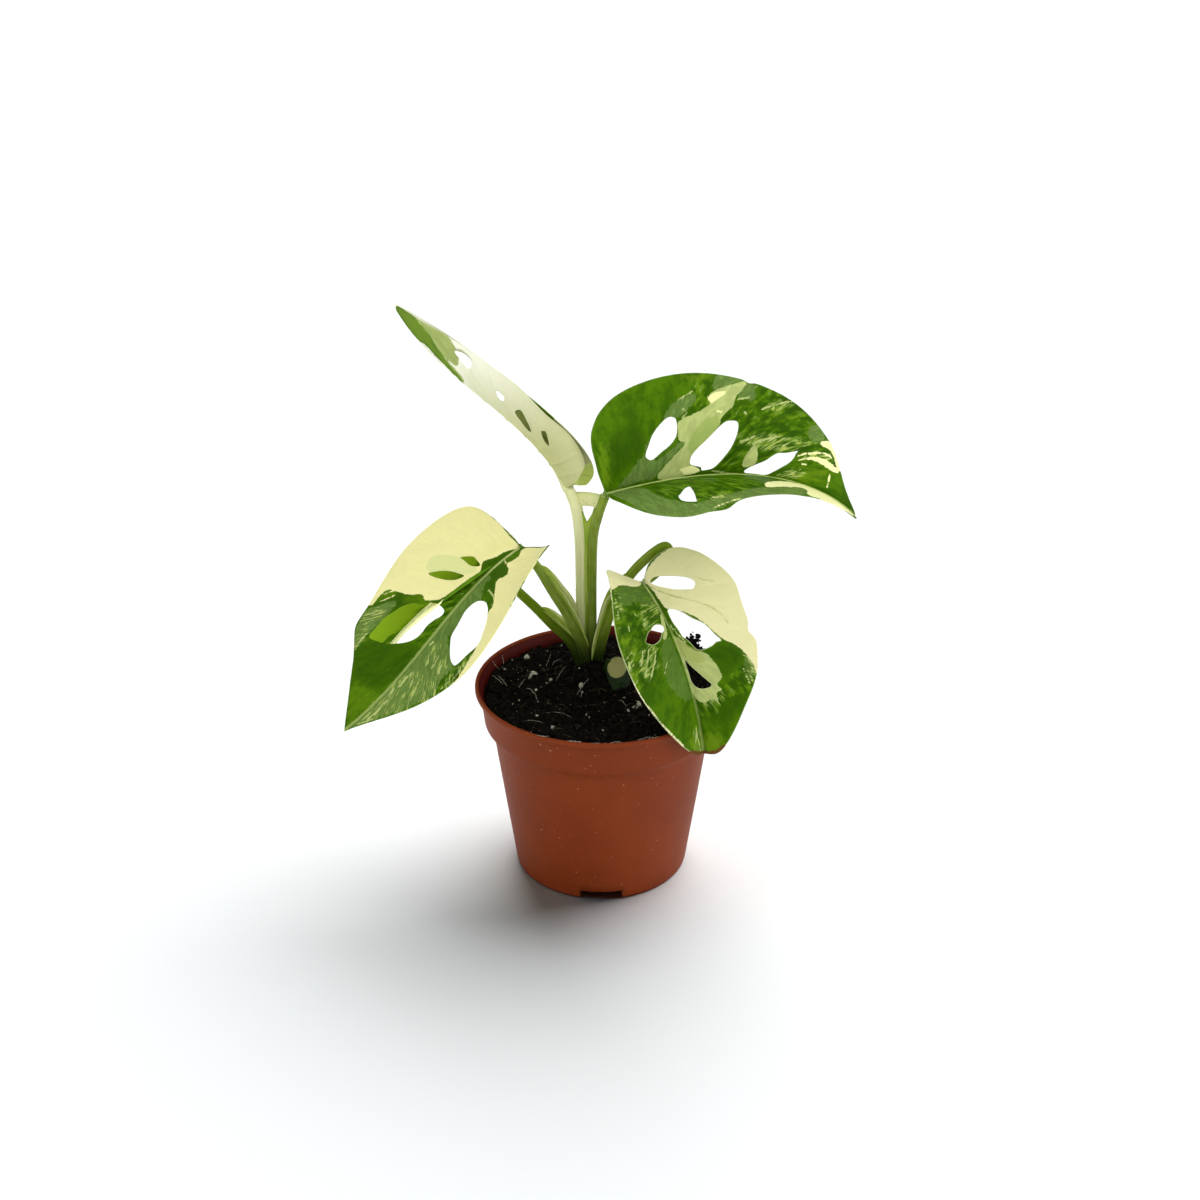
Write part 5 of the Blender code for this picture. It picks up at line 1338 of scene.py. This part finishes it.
def blade_finish(name, look, settings):
    """Blade skin: zones from the mesh's own depths, with frayed edges, and marbling that runs along the side
    veins.

    look is a row of BLADE_LOOKS without its slot."""
    cream_base, cream_tip, tint, rib_line, rim_line, painted_light_gain, greyness, lightness, cream_fray = look
    f = Finish(name, {"Specular IOR Level": .03})
    flow = f.read("flow", "Vector")
    spot = f.place()
    bend = f.noise(f.stretch(flow, (.3, .12, 0)), 1.0, 2, .5, "Color")
    bent = f.shift(flow, f.stretch(bend, (2.4, 5.0, 0)))
    streak = f.noise(f.stretch(bent, (1.0, .13, 0)), 1.0, 3, .65)
    wide = f.noise(f.stretch(bent, (.11, .07, 0)), 1.0, 3, .55)
    patch = f.noise(f.stretch(bent, (.24, .13, 0)), 1.0, 4, .6)
    grain = f.noise(spot, .55, 3, .6)
    fine = f.noise(spot, 3.2, 2)
    fray = (streak - .5) * 3.4 + (grain - .5) * 2.2
    rough = fray * 1.4 + (patch - .5) * 9 + (wide - .5) * 6

    def zone(kind, edge, soft):
        return f.step(f.read(kind) + edge, -soft, soft)

    green = f.mix(f.step(wide * .45 + patch * .35 + grain * .2, .42, .58), settings.dark_green, settings.green)
    green = f.mix(zone("dark", rough, 2.2) * .6, green, settings.deep_green)
    green = f.mix(zone("light", rough, 2.2) * lightness, green, settings.olive)
    # marbling in tones from deep green to pale, with crisp edges
    marble = f.mix(f.step(patch, .43, .47), settings.deep_green, settings.dark_green)
    marble = f.mix(f.step(patch, .49, .53), marble, settings.green)
    marble = f.mix(f.step(patch, .55, .6) * .6, marble, settings.olive)
    marble = f.mix(f.step(patch * .5 + streak * .5, .585, .6), marble, settings.grey_green)
    marble = f.mix(f.step(patch * .3 + streak * .7, .64, .66), marble, settings.pale_green)
    colour = f.mix(zone("marble", rough * .6, .4) * .72, green, marble)
    shaded = tuple(c * .76 for c in settings.grey_green)
    in_grey = zone("grey", fray * 1.1 + (patch - .5) * 3, .25) * greyness
    colour = f.mix(in_grey, colour, f.mix(f.step(patch, .45, .53), settings.grey_green, shaded))
    colour = f.mix(in_grey * f.step(streak, .64, .66) * .5, colour, settings.pale_green)
    in_fleck = zone("fleck", rough * .6, 1.2)
    colour = f.mix(in_fleck * f.step(streak * .6 + patch * .4, .47, .52) * .6, colour, settings.grey_green)
    flecked = f.mix(f.step(grain, .4, .6), settings.pale_green, settings.fleck)
    colour = f.mix(in_fleck * f.step(streak * .65 + patch * .35, .52, .57) * .68, colour, flecked)
    softer = tuple(c * .84 for c in settings.pale_green)
    colour = f.mix(zone("pale", fray * .45, .16), colour,
                   f.mix(f.step(patch, .4, .6), settings.pale_green, softer))
    in_cream = zone("cream", fray * cream_fray, .14)
    along = f.part(flow, 2)
    cream = f.mix(f.step(along, 14, 84), cream_base, cream_tip)
    cream = f.shade(f.step(grain * .3 + wide * .7, .36, .62), cream, .97, 1.02)
    colour = f.mix(in_cream, colour, cream)
    deep = f.step(f.read("cream"), 1.2, 3.4)
    by_rib = 1 - f.step(f.read("rib") + (wide - .5) * 12, 2, 13)
    colour = f.mix((f.step(wide * .5 + streak * .5, .54, .64) * .2 + by_rib * .22) * deep, colour,
                   srgb(206, 210, 120))
    colour = f.mix(zone("tint", fray * .4 + (wide - .5), .4) * .7, colour, tint)
    # side veins a little darker in green and a little greener in cream, and a pale midrib
    near_vein = 1 - f.step(f.read("vein"), .12, .5)
    colour = f.mix(near_vein * (.18 - in_cream * .12), colour,
                   f.mix(in_cream, srgb(40, 70, 6), srgb(196, 204, 118)))
    near_rib = 1 - f.step(f.read("rib") + (streak - .5) * .8, .4, .9)
    colour = f.mix(near_rib * rib_line, colour, srgb(200, 216, 130))
    near_edge = 1 - f.step(f.read("edge"), .1, .5)
    colour = f.mix(near_edge * rim_line, colour, f.mix(in_cream, srgb(196, 208, 150), srgb(240, 238, 196)))
    under = f.read("under")
    below = f.mix(.3, colour, f.mix(in_cream, srgb(132, 160, 80), cream))
    colour = f.mix(under, colour, below)
    colour = f.mix(zone("dry", fray * .5, .3), colour, srgb(104, 70, 36))
    # painted light: the gain makes the whole blade lighter or darker for the light it gets, over a real fine
    # tone
    colour = f.shade(fine, colour, .96 * painted_light_gain, 1.04 * painted_light_gain)
    ripple = f.cells(spot, .55, "SMOOTH_F1")
    return f.done(colour, .42 + grain * .12 + under * .22, streak * .5 + ripple * .35 + fine * .15, .22, .0003)


def stalk_finish(name, green, pale_colour):
    """Stalk skin: fine pale lines along it over a colour that runs from green to cream, with painted shade
    that darkens it at the foot."""
    f = Finish(name, {"Specular IOR Level": .05})
    flow = f.read("flow", "Vector")
    lines = f.noise(f.stretch(flow, (.035, 5.2, 0)), 1.0, 2, .6)
    mottle = f.noise(f.place((1000, 1000, 350)), .35, 2)
    spots = f.noise(f.place(), 1.6, 2, .6)
    pale = f.read("pale")
    height = f.part(f.place(), 2)
    colour = f.mix(f.step(pale + (mottle - .5) * .3, .05, .95), green, pale_colour)
    line = f.mix(f.step(pale, .2, .8), srgb(176, 194, 84), pale_colour)
    colour = f.mix(f.step(lines, .5, .64) * (.3 + pale * .3), colour, line)
    colour = f.mix((1 - f.step(lines, .34, .44)) * .35, colour, srgb(78, 112, 12))
    # painted shade: stalks, midrib ends and crown go dark near the soil, where shade falls among them
    colour = f.mix((1 - f.step(height, 100, 126)) * .95, colour, srgb(12, 30, 4))
    colour = f.mix(f.step(spots, .66, .72) * .4, colour, srgb(128, 116, 60))
    return f.done(colour, .38 + spots * .18, lines * .7 + spots * .3, .35, .0004)


def sheath_finish():
    """Thin dry sheath: pale yellow green with darker lines along it and a brownish torn edge."""
    f = Finish("sheath", {"Specular IOR Level": .05})
    flow = f.read("flow", "Vector")
    lines = f.noise(f.stretch(flow, (.05, 2.4, 0)), 1.0, 3, .6)
    spots = f.noise(f.place(), .8, 2)
    far = f.part(flow, 1)
    colour = f.mix(f.step(lines, .4, .62), srgb(142, 170, 50), srgb(172, 192, 88))
    colour = f.mix(f.step(far, 3.6, 6.2), colour, srgb(218, 220, 156))
    colour = f.mix(f.step(spots, .62, .7) * .5, colour, srgb(170, 150, 96))
    return f.done(colour, .5 + spots * .2, lines, .35, .0004)


def cut_finish():
    """Cut stem: green bark with brown scars, and a pale dry cut with rings and a darker rim."""
    f = Finish("cut_stem", {"Specular IOR Level": .35})
    spot = f.place()
    mottle = f.noise(spot, .35, 3, .6)
    fine = f.noise(spot, 2.2, 2)
    bark = f.mix(f.step(mottle, .42, .6), srgb(20, 38, 10), srgb(38, 60, 22))
    bark = f.mix(f.step(fine, .6, .72) * .4, bark, srgb(84, 74, 40))
    ring = f.read("ring")
    rings = f.node("ShaderNodeMath", {"operation": "SINE"}, {0: ring * 4.2 + mottle * 3})
    wood = f.mix(f.step(rings, -.5, .8) * .2, srgb(158, 156, 98), srgb(140, 138, 82))
    wood = f.mix(f.step(mottle, .5, .6) * .3, wood, srgb(124, 122, 74))
    wood = f.mix(f.step(ring, 4.4, 5.1) * .6, wood, srgb(104, 100, 52))
    return f.done(f.mix(f.step(f.read("cut"), .4, .6), bark, wood), .55 + fine * .25,
                  mottle * .6 + fine * .4, .5, .0007)


def pot_finish(settings):
    """Matt moulded plastic: warm brown with faint clouds, pale and dark specks, scuffs, and painted shade
    that makes the inside darker."""
    f = Finish("pot_plastic", {"Specular IOR Level": .14})
    spot = f.place()
    cloudy = f.noise(spot, .03, 3, .6)
    fine = f.noise(spot, 1.5, 3, .65)
    tiny = f.noise(spot, 5, 1)
    x, y, z = (f.part(spot, k) for k in range(3))
    colour = f.mix(f.step(cloudy * .7 + fine * .3, .35, .65), settings.plastic_dark, settings.plastic)
    colour = f.mix(f.step(fine, .55, .75) * .2, colour, srgb(146, 84, 54))
    lint = f.noise(spot, .55, 2, .7)
    colour = f.mix(f.step(lint, .725, .745) * .6, colour, srgb(206, 176, 152))
    grime = f.noise(f.place((1000, 1000, 820)), .42, 2, .7)
    colour = f.mix(f.step(grime, .715, .74) * .75, colour, srgb(44, 22, 14))
    scuff = f.noise(f.place((420, 420, 2200)), .9, 2, .6)
    colour = f.mix(f.step(scuff, .66, .74) * .14, colour, srgb(160, 100, 74))
    radius = f.node("ShaderNodeMath", {"operation": "SQRT"}, {0: x * x + y * y})
    # inside of the wall: nearer the axis than two cones midway through it, the upper one wider at the lip
    middle_upper = 55.2 + (z - 78) * .098 + f.step(z, 91, 94.5) * 2.2 - f.step(z, 94.8, 95.4) * 1.6
    middle_lower = 41.6 + z * .1345
    upper = f.step(z, 76.5, 78.6)
    inner = f.step(middle_lower * (1 - upper) + middle_upper * upper - radius, -.25, .35) * f.step(z, 4.5, 6.5)
    # painted shade: the inside of the wall takes a darker colour, for the shade inside the pot
    colour = f.mix(inner, colour, settings.inside_shade)
    return f.done(colour, .5 + fine * .16 - tiny * .04, fine * .5 + tiny * .2 + cloudy * .6, .22, .0004)


def soil_finish(name, dark, light, bright):
    """Peat: near black crumbs with brown fibres, and a few pale mineral grains."""
    f = Finish(name, {"Specular IOR Level": .04})
    spot = f.place()
    coarse = f.noise(spot, .35, 4, .65)
    fine = f.noise(spot, 1.8, 3, .7)
    crumbs = f.cells(spot, .55)
    colour = f.mix(f.step(coarse * .5 + fine * .5, .4, .62), dark, light)
    colour = f.mix((1 - f.step(crumbs, .08, .45)) * .4, colour, tuple(c * .4 for c in dark))
    grains = f.noise(spot, 1.15, 1, .5)
    colour = f.mix(f.step(grains, .74, .765) * bright, colour, srgb(168, 152, 128))
    return f.done(colour, .78 + fine * .2, fine * .6 + crumbs * .6 + coarse, .9, .0012)


def plain_finish(name, dark, light, rough, size):
    """A grainy finish between two colours."""
    f = Finish(name, {"Specular IOR Level": .3})
    spot = f.place()
    grain = f.noise(spot, size, 3, .6)
    return f.done(f.mix(f.step(grain, .35, .65), dark, light), rough + grain * .15, grain, .4, .0004)


# Settings

def number(name, description, default, low, high, kind=bpy.props.FloatProperty, **more):
    return kind(name=name, description=description, default=default, min=low, max=high, **more)


def length(*row):
    return number(*row, subtype="DISTANCE", unit="LENGTH", precision=4)


def whole(*row):
    return number(*row, kind=bpy.props.IntProperty)


def colour_setting(name, description, default):
    return bpy.props.FloatVectorProperty(name=name, description=description, default=default, size=3, min=0,
                                         max=1, subtype="COLOR")


class PotSettings(bpy.types.PropertyGroup):
    """Sizes and colours of the pot"""
    notch_width: length("Notch width", "Width of each drain notch in the foot", .020, .004, .03)
    plastic: colour_setting("Plastic", "Lighter colour of the plastic", srgb(129, 53, 16))
    plastic_dark: colour_setting("Plastic, dark", "Darker colour of the plastic", srgb(118, 48, 13))
    # painted shade: a darker colour for the inside wall, which lies in shade
    inside_shade: colour_setting("Inside", "Colour of the shadowed inside wall", srgb(80, 13, 5))


class SoilSettings(bpy.types.PropertyGroup):
    """Cover and colours of the soil"""
    crumbs: whole("Crumbs", "Number of loose crumbs", 2600, 0, 6000)
    fibres: whole("Fibres", "Number of loose fibres", 170, 0, 1500)
    peat: colour_setting("Peat", "Colour of the dark peat", srgb(11, 10, 9))
    peat_light: colour_setting("Peat, light", "Colour of the lighter crumbs", srgb(32, 27, 22))
    perlite: colour_setting("Perlite", "Colour of the white grains", srgb(204, 200, 184))


class StalkSettings(bpy.types.PropertyGroup):
    """Shape and colours of the stalks"""
    rings: whole("Rings", "Rings along each stalk", 150, 40, 400)
    groove: number("Groove", "Depth of the groove, as a share of the radius", .16, 0, .4, subtype="FACTOR")
    green: colour_setting("Green", "Colour of the green stalks", srgb(108, 134, 16))
    cream: colour_setting("Cream", "Colour of the pale stalks", srgb(228, 230, 172))


class BladeSettings(bpy.types.PropertyGroup):
    """Sizes and colours of the blades"""
    thickness: length("Thickness", "Thickness of a blade", .0007, .0004, .002)
    grid_step: number("Grid step", "Spacing of a blade's grid in mm", .9, .6, 4)
    vein_depth: number("Vein depth", "Depth of the midrib's groove in mm", .7, 0, 1.5)
    green: colour_setting("Green", "Middle green", srgb(76, 115, 3))
    dark_green: colour_setting("Dark green", "Darker green between the veins", srgb(55, 93, 1))
    deep_green: colour_setting("Deep green", "Green of the darkest zones", srgb(42, 76, 1))
    olive: colour_setting("Olive", "Yellow green of the light zones", srgb(122, 154, 26))
    grey_green: colour_setting("Grey green", "Green of the marbled zones", srgb(108, 136, 64))
    fleck: colour_setting("Flecks", "Yellow green of the lightest flecks", srgb(196, 206, 96))
    pale_green: colour_setting("Pale green", "Green of the pale zones", srgb(184, 196, 120))


class StageSettings(bpy.types.PropertyGroup):
    """Floor, light and camera"""
    floor: colour_setting("Floor", "Colour of the floor", (.86, .86, .86))
    sun: number("Sun", "Strength of the sun on the floor", 5.85, 0, 10)
    dome: number("Dome", "Strength of the even light on the plant", 2.5, 0, 10)
    key: number("Key", "Strength of the directed light on the plant", .6, 0, 10)
    sky: number("Sky", "Brightness of the surroundings in view", 1, 0, 5)
    lens: number("Lens", "Focal length in mm", 48.45, 20, 200)


# Lamps: name, the setting and the share of it that give its strength, where it shines from, its width in
# degrees, its colour, and whether it lights the floor alone (INCLUDE) or all but the floor (EXCLUDE)
LAMPS = [
    ("shadow_key", "sun", 1, (.383, .663, .643), 86, (1, 1, 1), "INCLUDE"),
    ("shadow_fill", "sun", .06, (-.483, -.129, .866), 30, (.6, .88, 1), "INCLUDE"),
    ("soft_left", "key", 1.1, (-.95, -.3, .15), 60, (1, 1, 1), "EXCLUDE"),
    ("soft_right", "key", 1.1, (.95, -.3, .15), 60, (1, 1, 1), "EXCLUDE"),
    ("soft_dome", "dome", 1, (0, -.35, .94), 170, (1, 1, 1), "EXCLUDE"),
    ("soft_key", "key", 1, (.45, -.25, .86), 50, (1, 1, 1), "EXCLUDE"),
]
# in metres: half the floor's side, how far it lies under the pot's foot, the camera's place and
# what it looks at
FLOOR_REACH, FLOOR_GAP = 20, .0002
CAMERA_PLACE, CAMERA_TARGET = (-.0006, -.67806, .45882), (-.0006, 0, .1383)
# in mm, as the focal length
SENSOR = 36


# Operators

class MakePot(bpy.types.Operator):
    """Moulds the pot with its collar, lip, foot notches and drain holes"""
    bl_idname = "monstera.make_pot"
    bl_label = "Pot"

    def execute(self, context):
        settings = context.scene.monstera_pot
        points, faces, sharp = build_pot(settings)
        pot = make_mesh("pot_shell", points, faces, pot_finish(settings), sharp=sharp)
        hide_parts("pot")
        return {"FINISHED"}


class MakeSoil(bpy.types.Operator):
    """Fills the pot with peat"""
    bl_idname = "monstera.make_soil"
    bl_label = "Soil"

    def execute(self, context):
        settings = context.scene.monstera_soil
        points, faces = build_soil()
        soil = make_mesh("soil_fill", points, faces,
                         soil_finish("soil", settings.peat, settings.peat_light, .8))
        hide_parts("soil")
        return {"FINISHED"}


class MakeSoilCover(bpy.types.Operator):
    """Strews crumbs, fibres and white grains over the soil"""
    bl_idname = "monstera.make_soil_cover"
    bl_label = "Soil cover"

    def execute(self, context):
        settings = context.scene.monstera_soil
        dice = np.random.default_rng(77)
        white = tuple(settings.perlite)
        grey = tuple(c * .4 for c in white)
        rows = (
            ("soil_crumbs", build_crumbs(dice, settings.crumbs),
             soil_finish("crumbs", settings.peat, settings.peat_light, .3)),
            ("soil_fibres", build_fibres(dice, settings.fibres),
             plain_finish("fibre", srgb(40, 30, 22), srgb(96, 80, 58), .7, 1.2)),
            ("root_threads", build_threads(dice),
             plain_finish("thread", srgb(120, 112, 98), srgb(196, 190, 176), .7, 1.2)),
            ("perlite", build_grains(dice), plain_finish("perlite", grey, white, .75, .9)))
        for name, body, finish in rows:
            item = make_mesh(name, *body, finish)
        return {"FINISHED"}


def make_stem(name, built, finish):
    """A piece of the stems, from its points, faces and values."""
    points, faces, values = built
    item = make_mesh(name, points, faces, finish, values)
    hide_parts("stems")


class MakeStalks(bpy.types.Operator):
    """Draws the five leaf stalks up to and under their blades"""
    bl_idname = "monstera.make_stalks"
    bl_label = "Stalks"

    def execute(self, context):
        settings = context.scene.monstera_stalks
        finish = stalk_finish("stalk", settings.green, settings.cream)
        rows = (("stalks", build_stalks(settings)), ("midrib_ends", build_midribs()),
                ("crown", build_crown()))
        for name, built in rows:
            make_stem(name, built, finish)
        return {"FINISHED"}


class MakeSheaths(bpy.types.Operator):
    """Spreads the thin sheath wings along the stalks"""
    bl_idname = "monstera.make_sheaths"
    bl_label = "Sheaths"

    def execute(self, context):
        make_stem("sheaths", build_wings(), sheath_finish())
        return {"FINISHED"}


class MakeCutStem(bpy.types.Operator):
    """Adds the stub of the old stem with its dry cut"""
    bl_idname = "monstera.make_cut_stem"
    bl_label = "Cut stem"

    def execute(self, context):
        make_stem("cut_stub", build_cut_stem(), cut_finish())
        return {"FINISHED"}


class MakeBlades(bpy.types.Operator):
    """Grows the five blades with their holes and their cream and green zones"""
    bl_idname = "monstera.make_blades"
    bl_label = "Blades"

    def execute(self, context):
        settings = context.scene.monstera_blades
        for name, (slot, *look) in BLADE_LOOKS.items():
            points, faces, values, sharp = build_blade(name, settings)
            finish = blade_finish(name + "_skin", look, settings)
            item = make_mesh(name.replace("leaf", "blade"), points, faces, finish, values, sharp)
            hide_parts(name)
        return {"FINISHED"}


class SetStage(bpy.types.Operator):
    """Lays the pale floor and places the light and the camera"""
    bl_idname = "monstera.set_stage"
    bl_label = "Stage"

    def execute(self, context):
        scene = context.scene
        settings = scene.monstera_stage
        scene.view_settings.view_transform = "Standard"
        floor = lay_floor(scene, settings)
        set_surroundings(scene, settings)
        hang_lamps(scene, settings, floor)
        set_camera(scene, settings)
        return {"FINISHED"}


def lay_floor(scene, settings):
    """A pale floor just under the pot's foot."""
    mesh = bpy.data.meshes.new("floor")
    side = np.linspace(-FLOOR_REACH, FLOOR_REACH, 9)
    x, y = np.meshgrid(side, side, indexing="ij")
    points = np.stack([x, y, 0 * x - FLOOR_GAP], -1).reshape(-1, 3)
    mesh.from_pydata(points.tolist(), [], grid_faces(9, 9).tolist())
    constants = {"Base Color": (*settings.floor, 1), "Specular IOR Level": .2, "Roughness": .8}
    mesh.materials.append(Finish("floor", constants).material)
    floor = bpy.data.objects.new("floor", mesh)
    scene.collection.objects.link(floor)
    return floor


def set_surroundings(scene, settings):
    """White surroundings that are seen but light nothing."""
    world = bpy.data.worlds.new("surroundings")
    world.use_nodes = True
    background = world.node_tree.nodes["Background"]
    background.inputs["Color"].default_value = (1, 1, 1, 1)
    background.inputs["Strength"].default_value = settings.sky
    world.cycles_visibility.diffuse = False
    world.cycles_visibility.glossy = False
    scene.world = world


def hang_lamps(scene, settings, floor):
    """Lamps for the floor alone and for all but the floor: the photo has a soft shadow under an evenly lit
    plant."""
    shown = {}
    for state, name in (("INCLUDE", "floor_only"), ("EXCLUDE", "all_but_floor")):
        shown[state] = bpy.data.collections.new(name)
        shown[state].objects.link(floor)
        shown[state].collection_objects[0].light_linking.link_state = state
    for name, source, share, place, width, colour, state in LAMPS:
        sun = bpy.data.lights.new(name, "SUN")
        sun.energy = getattr(settings, source) * share
        sun.angle = math.radians(width)
        sun.color = colour
        lamp = bpy.data.objects.new(name, sun)
        aim(lamp, place, (0, 0, 0))
        lamp.light_linking.receiver_collection = shown[state]
        scene.collection.objects.link(lamp)


def set_camera(scene, settings):
    """The photo's view."""
    lens = bpy.data.cameras.new("camera")
    lens.sensor_width = SENSOR
    lens.lens = settings.lens
    lens.clip_end = 100
    camera = bpy.data.objects.new("camera", lens)
    aim(camera, CAMERA_PLACE, CAMERA_TARGET)
    scene.collection.objects.link(camera)
    scene.camera = camera


def aim(item, place, target):
    """Puts a lamp or camera at a place and points its own -Z at the target, with the horizon level."""
    back = unit(np.array(place, float) - np.array(target, float))
    side = unit(np.cross((0, 0, 1), back))
    up = np.cross(back, side)
    item.matrix_world = Matrix([[side[k], up[k], back[k], place[k]] for k in range(3)] + [[0, 0, 0, 1]])


class MonsteraPanel(bpy.types.Panel):
    """Settings and steps of the potted monstera"""
    bl_idname = "VIEW3D_PT_monstera"
    bl_label = "Potted monstera"
    bl_space_type = "VIEW_3D"
    bl_region_type = "UI"
    bl_category = "Monstera"

    def draw(self, context):
        for group, steps in PANEL_ROWS:
            box = self.layout.box()
            settings = getattr(context.scene, group)
            for key in settings.__annotations__:
                box.prop(settings, key)
            for step in steps:
                box.operator(step.bl_idname)


PANEL_ROWS = (
    ("monstera_pot", (MakePot,)),
    ("monstera_soil", (MakeSoil, MakeSoilCover)),
    ("monstera_stalks", (MakeStalks, MakeSheaths, MakeCutStem)),
    ("monstera_blades", (MakeBlades,)),
    ("monstera_stage", (SetStage,)),
)
GROUPS = {"monstera_pot": PotSettings, "monstera_soil": SoilSettings, "monstera_stalks": StalkSettings,
          "monstera_blades": BladeSettings, "monstera_stage": StageSettings}
CLASSES = (*GROUPS.values(), MakePot, MakeSoil, MakeSoilCover, MakeStalks, MakeSheaths, MakeCutStem, MakeBlades,
           SetStage, MonsteraPanel)


def register():
    for item in CLASSES:
        bpy.utils.register_class(item)
    for key, group in GROUPS.items():
        setattr(bpy.types.Scene, key, bpy.props.PointerProperty(type=group))


def unregister():
    for key in GROUPS:
        delattr(bpy.types.Scene, key)
    for item in reversed(CLASSES):
        bpy.utils.unregister_class(item)


def main():
    """Makes every piece over the frame, in order."""
    register()
    steps = bpy.ops.monstera
    steps.make_pot()
    steps.make_soil()
    steps.make_soil_cover()
    steps.make_stalks()
    steps.make_sheaths()
    steps.make_cut_stem()
    steps.make_blades()
    steps.set_stage()


if __name__ == "__main__":
    main()
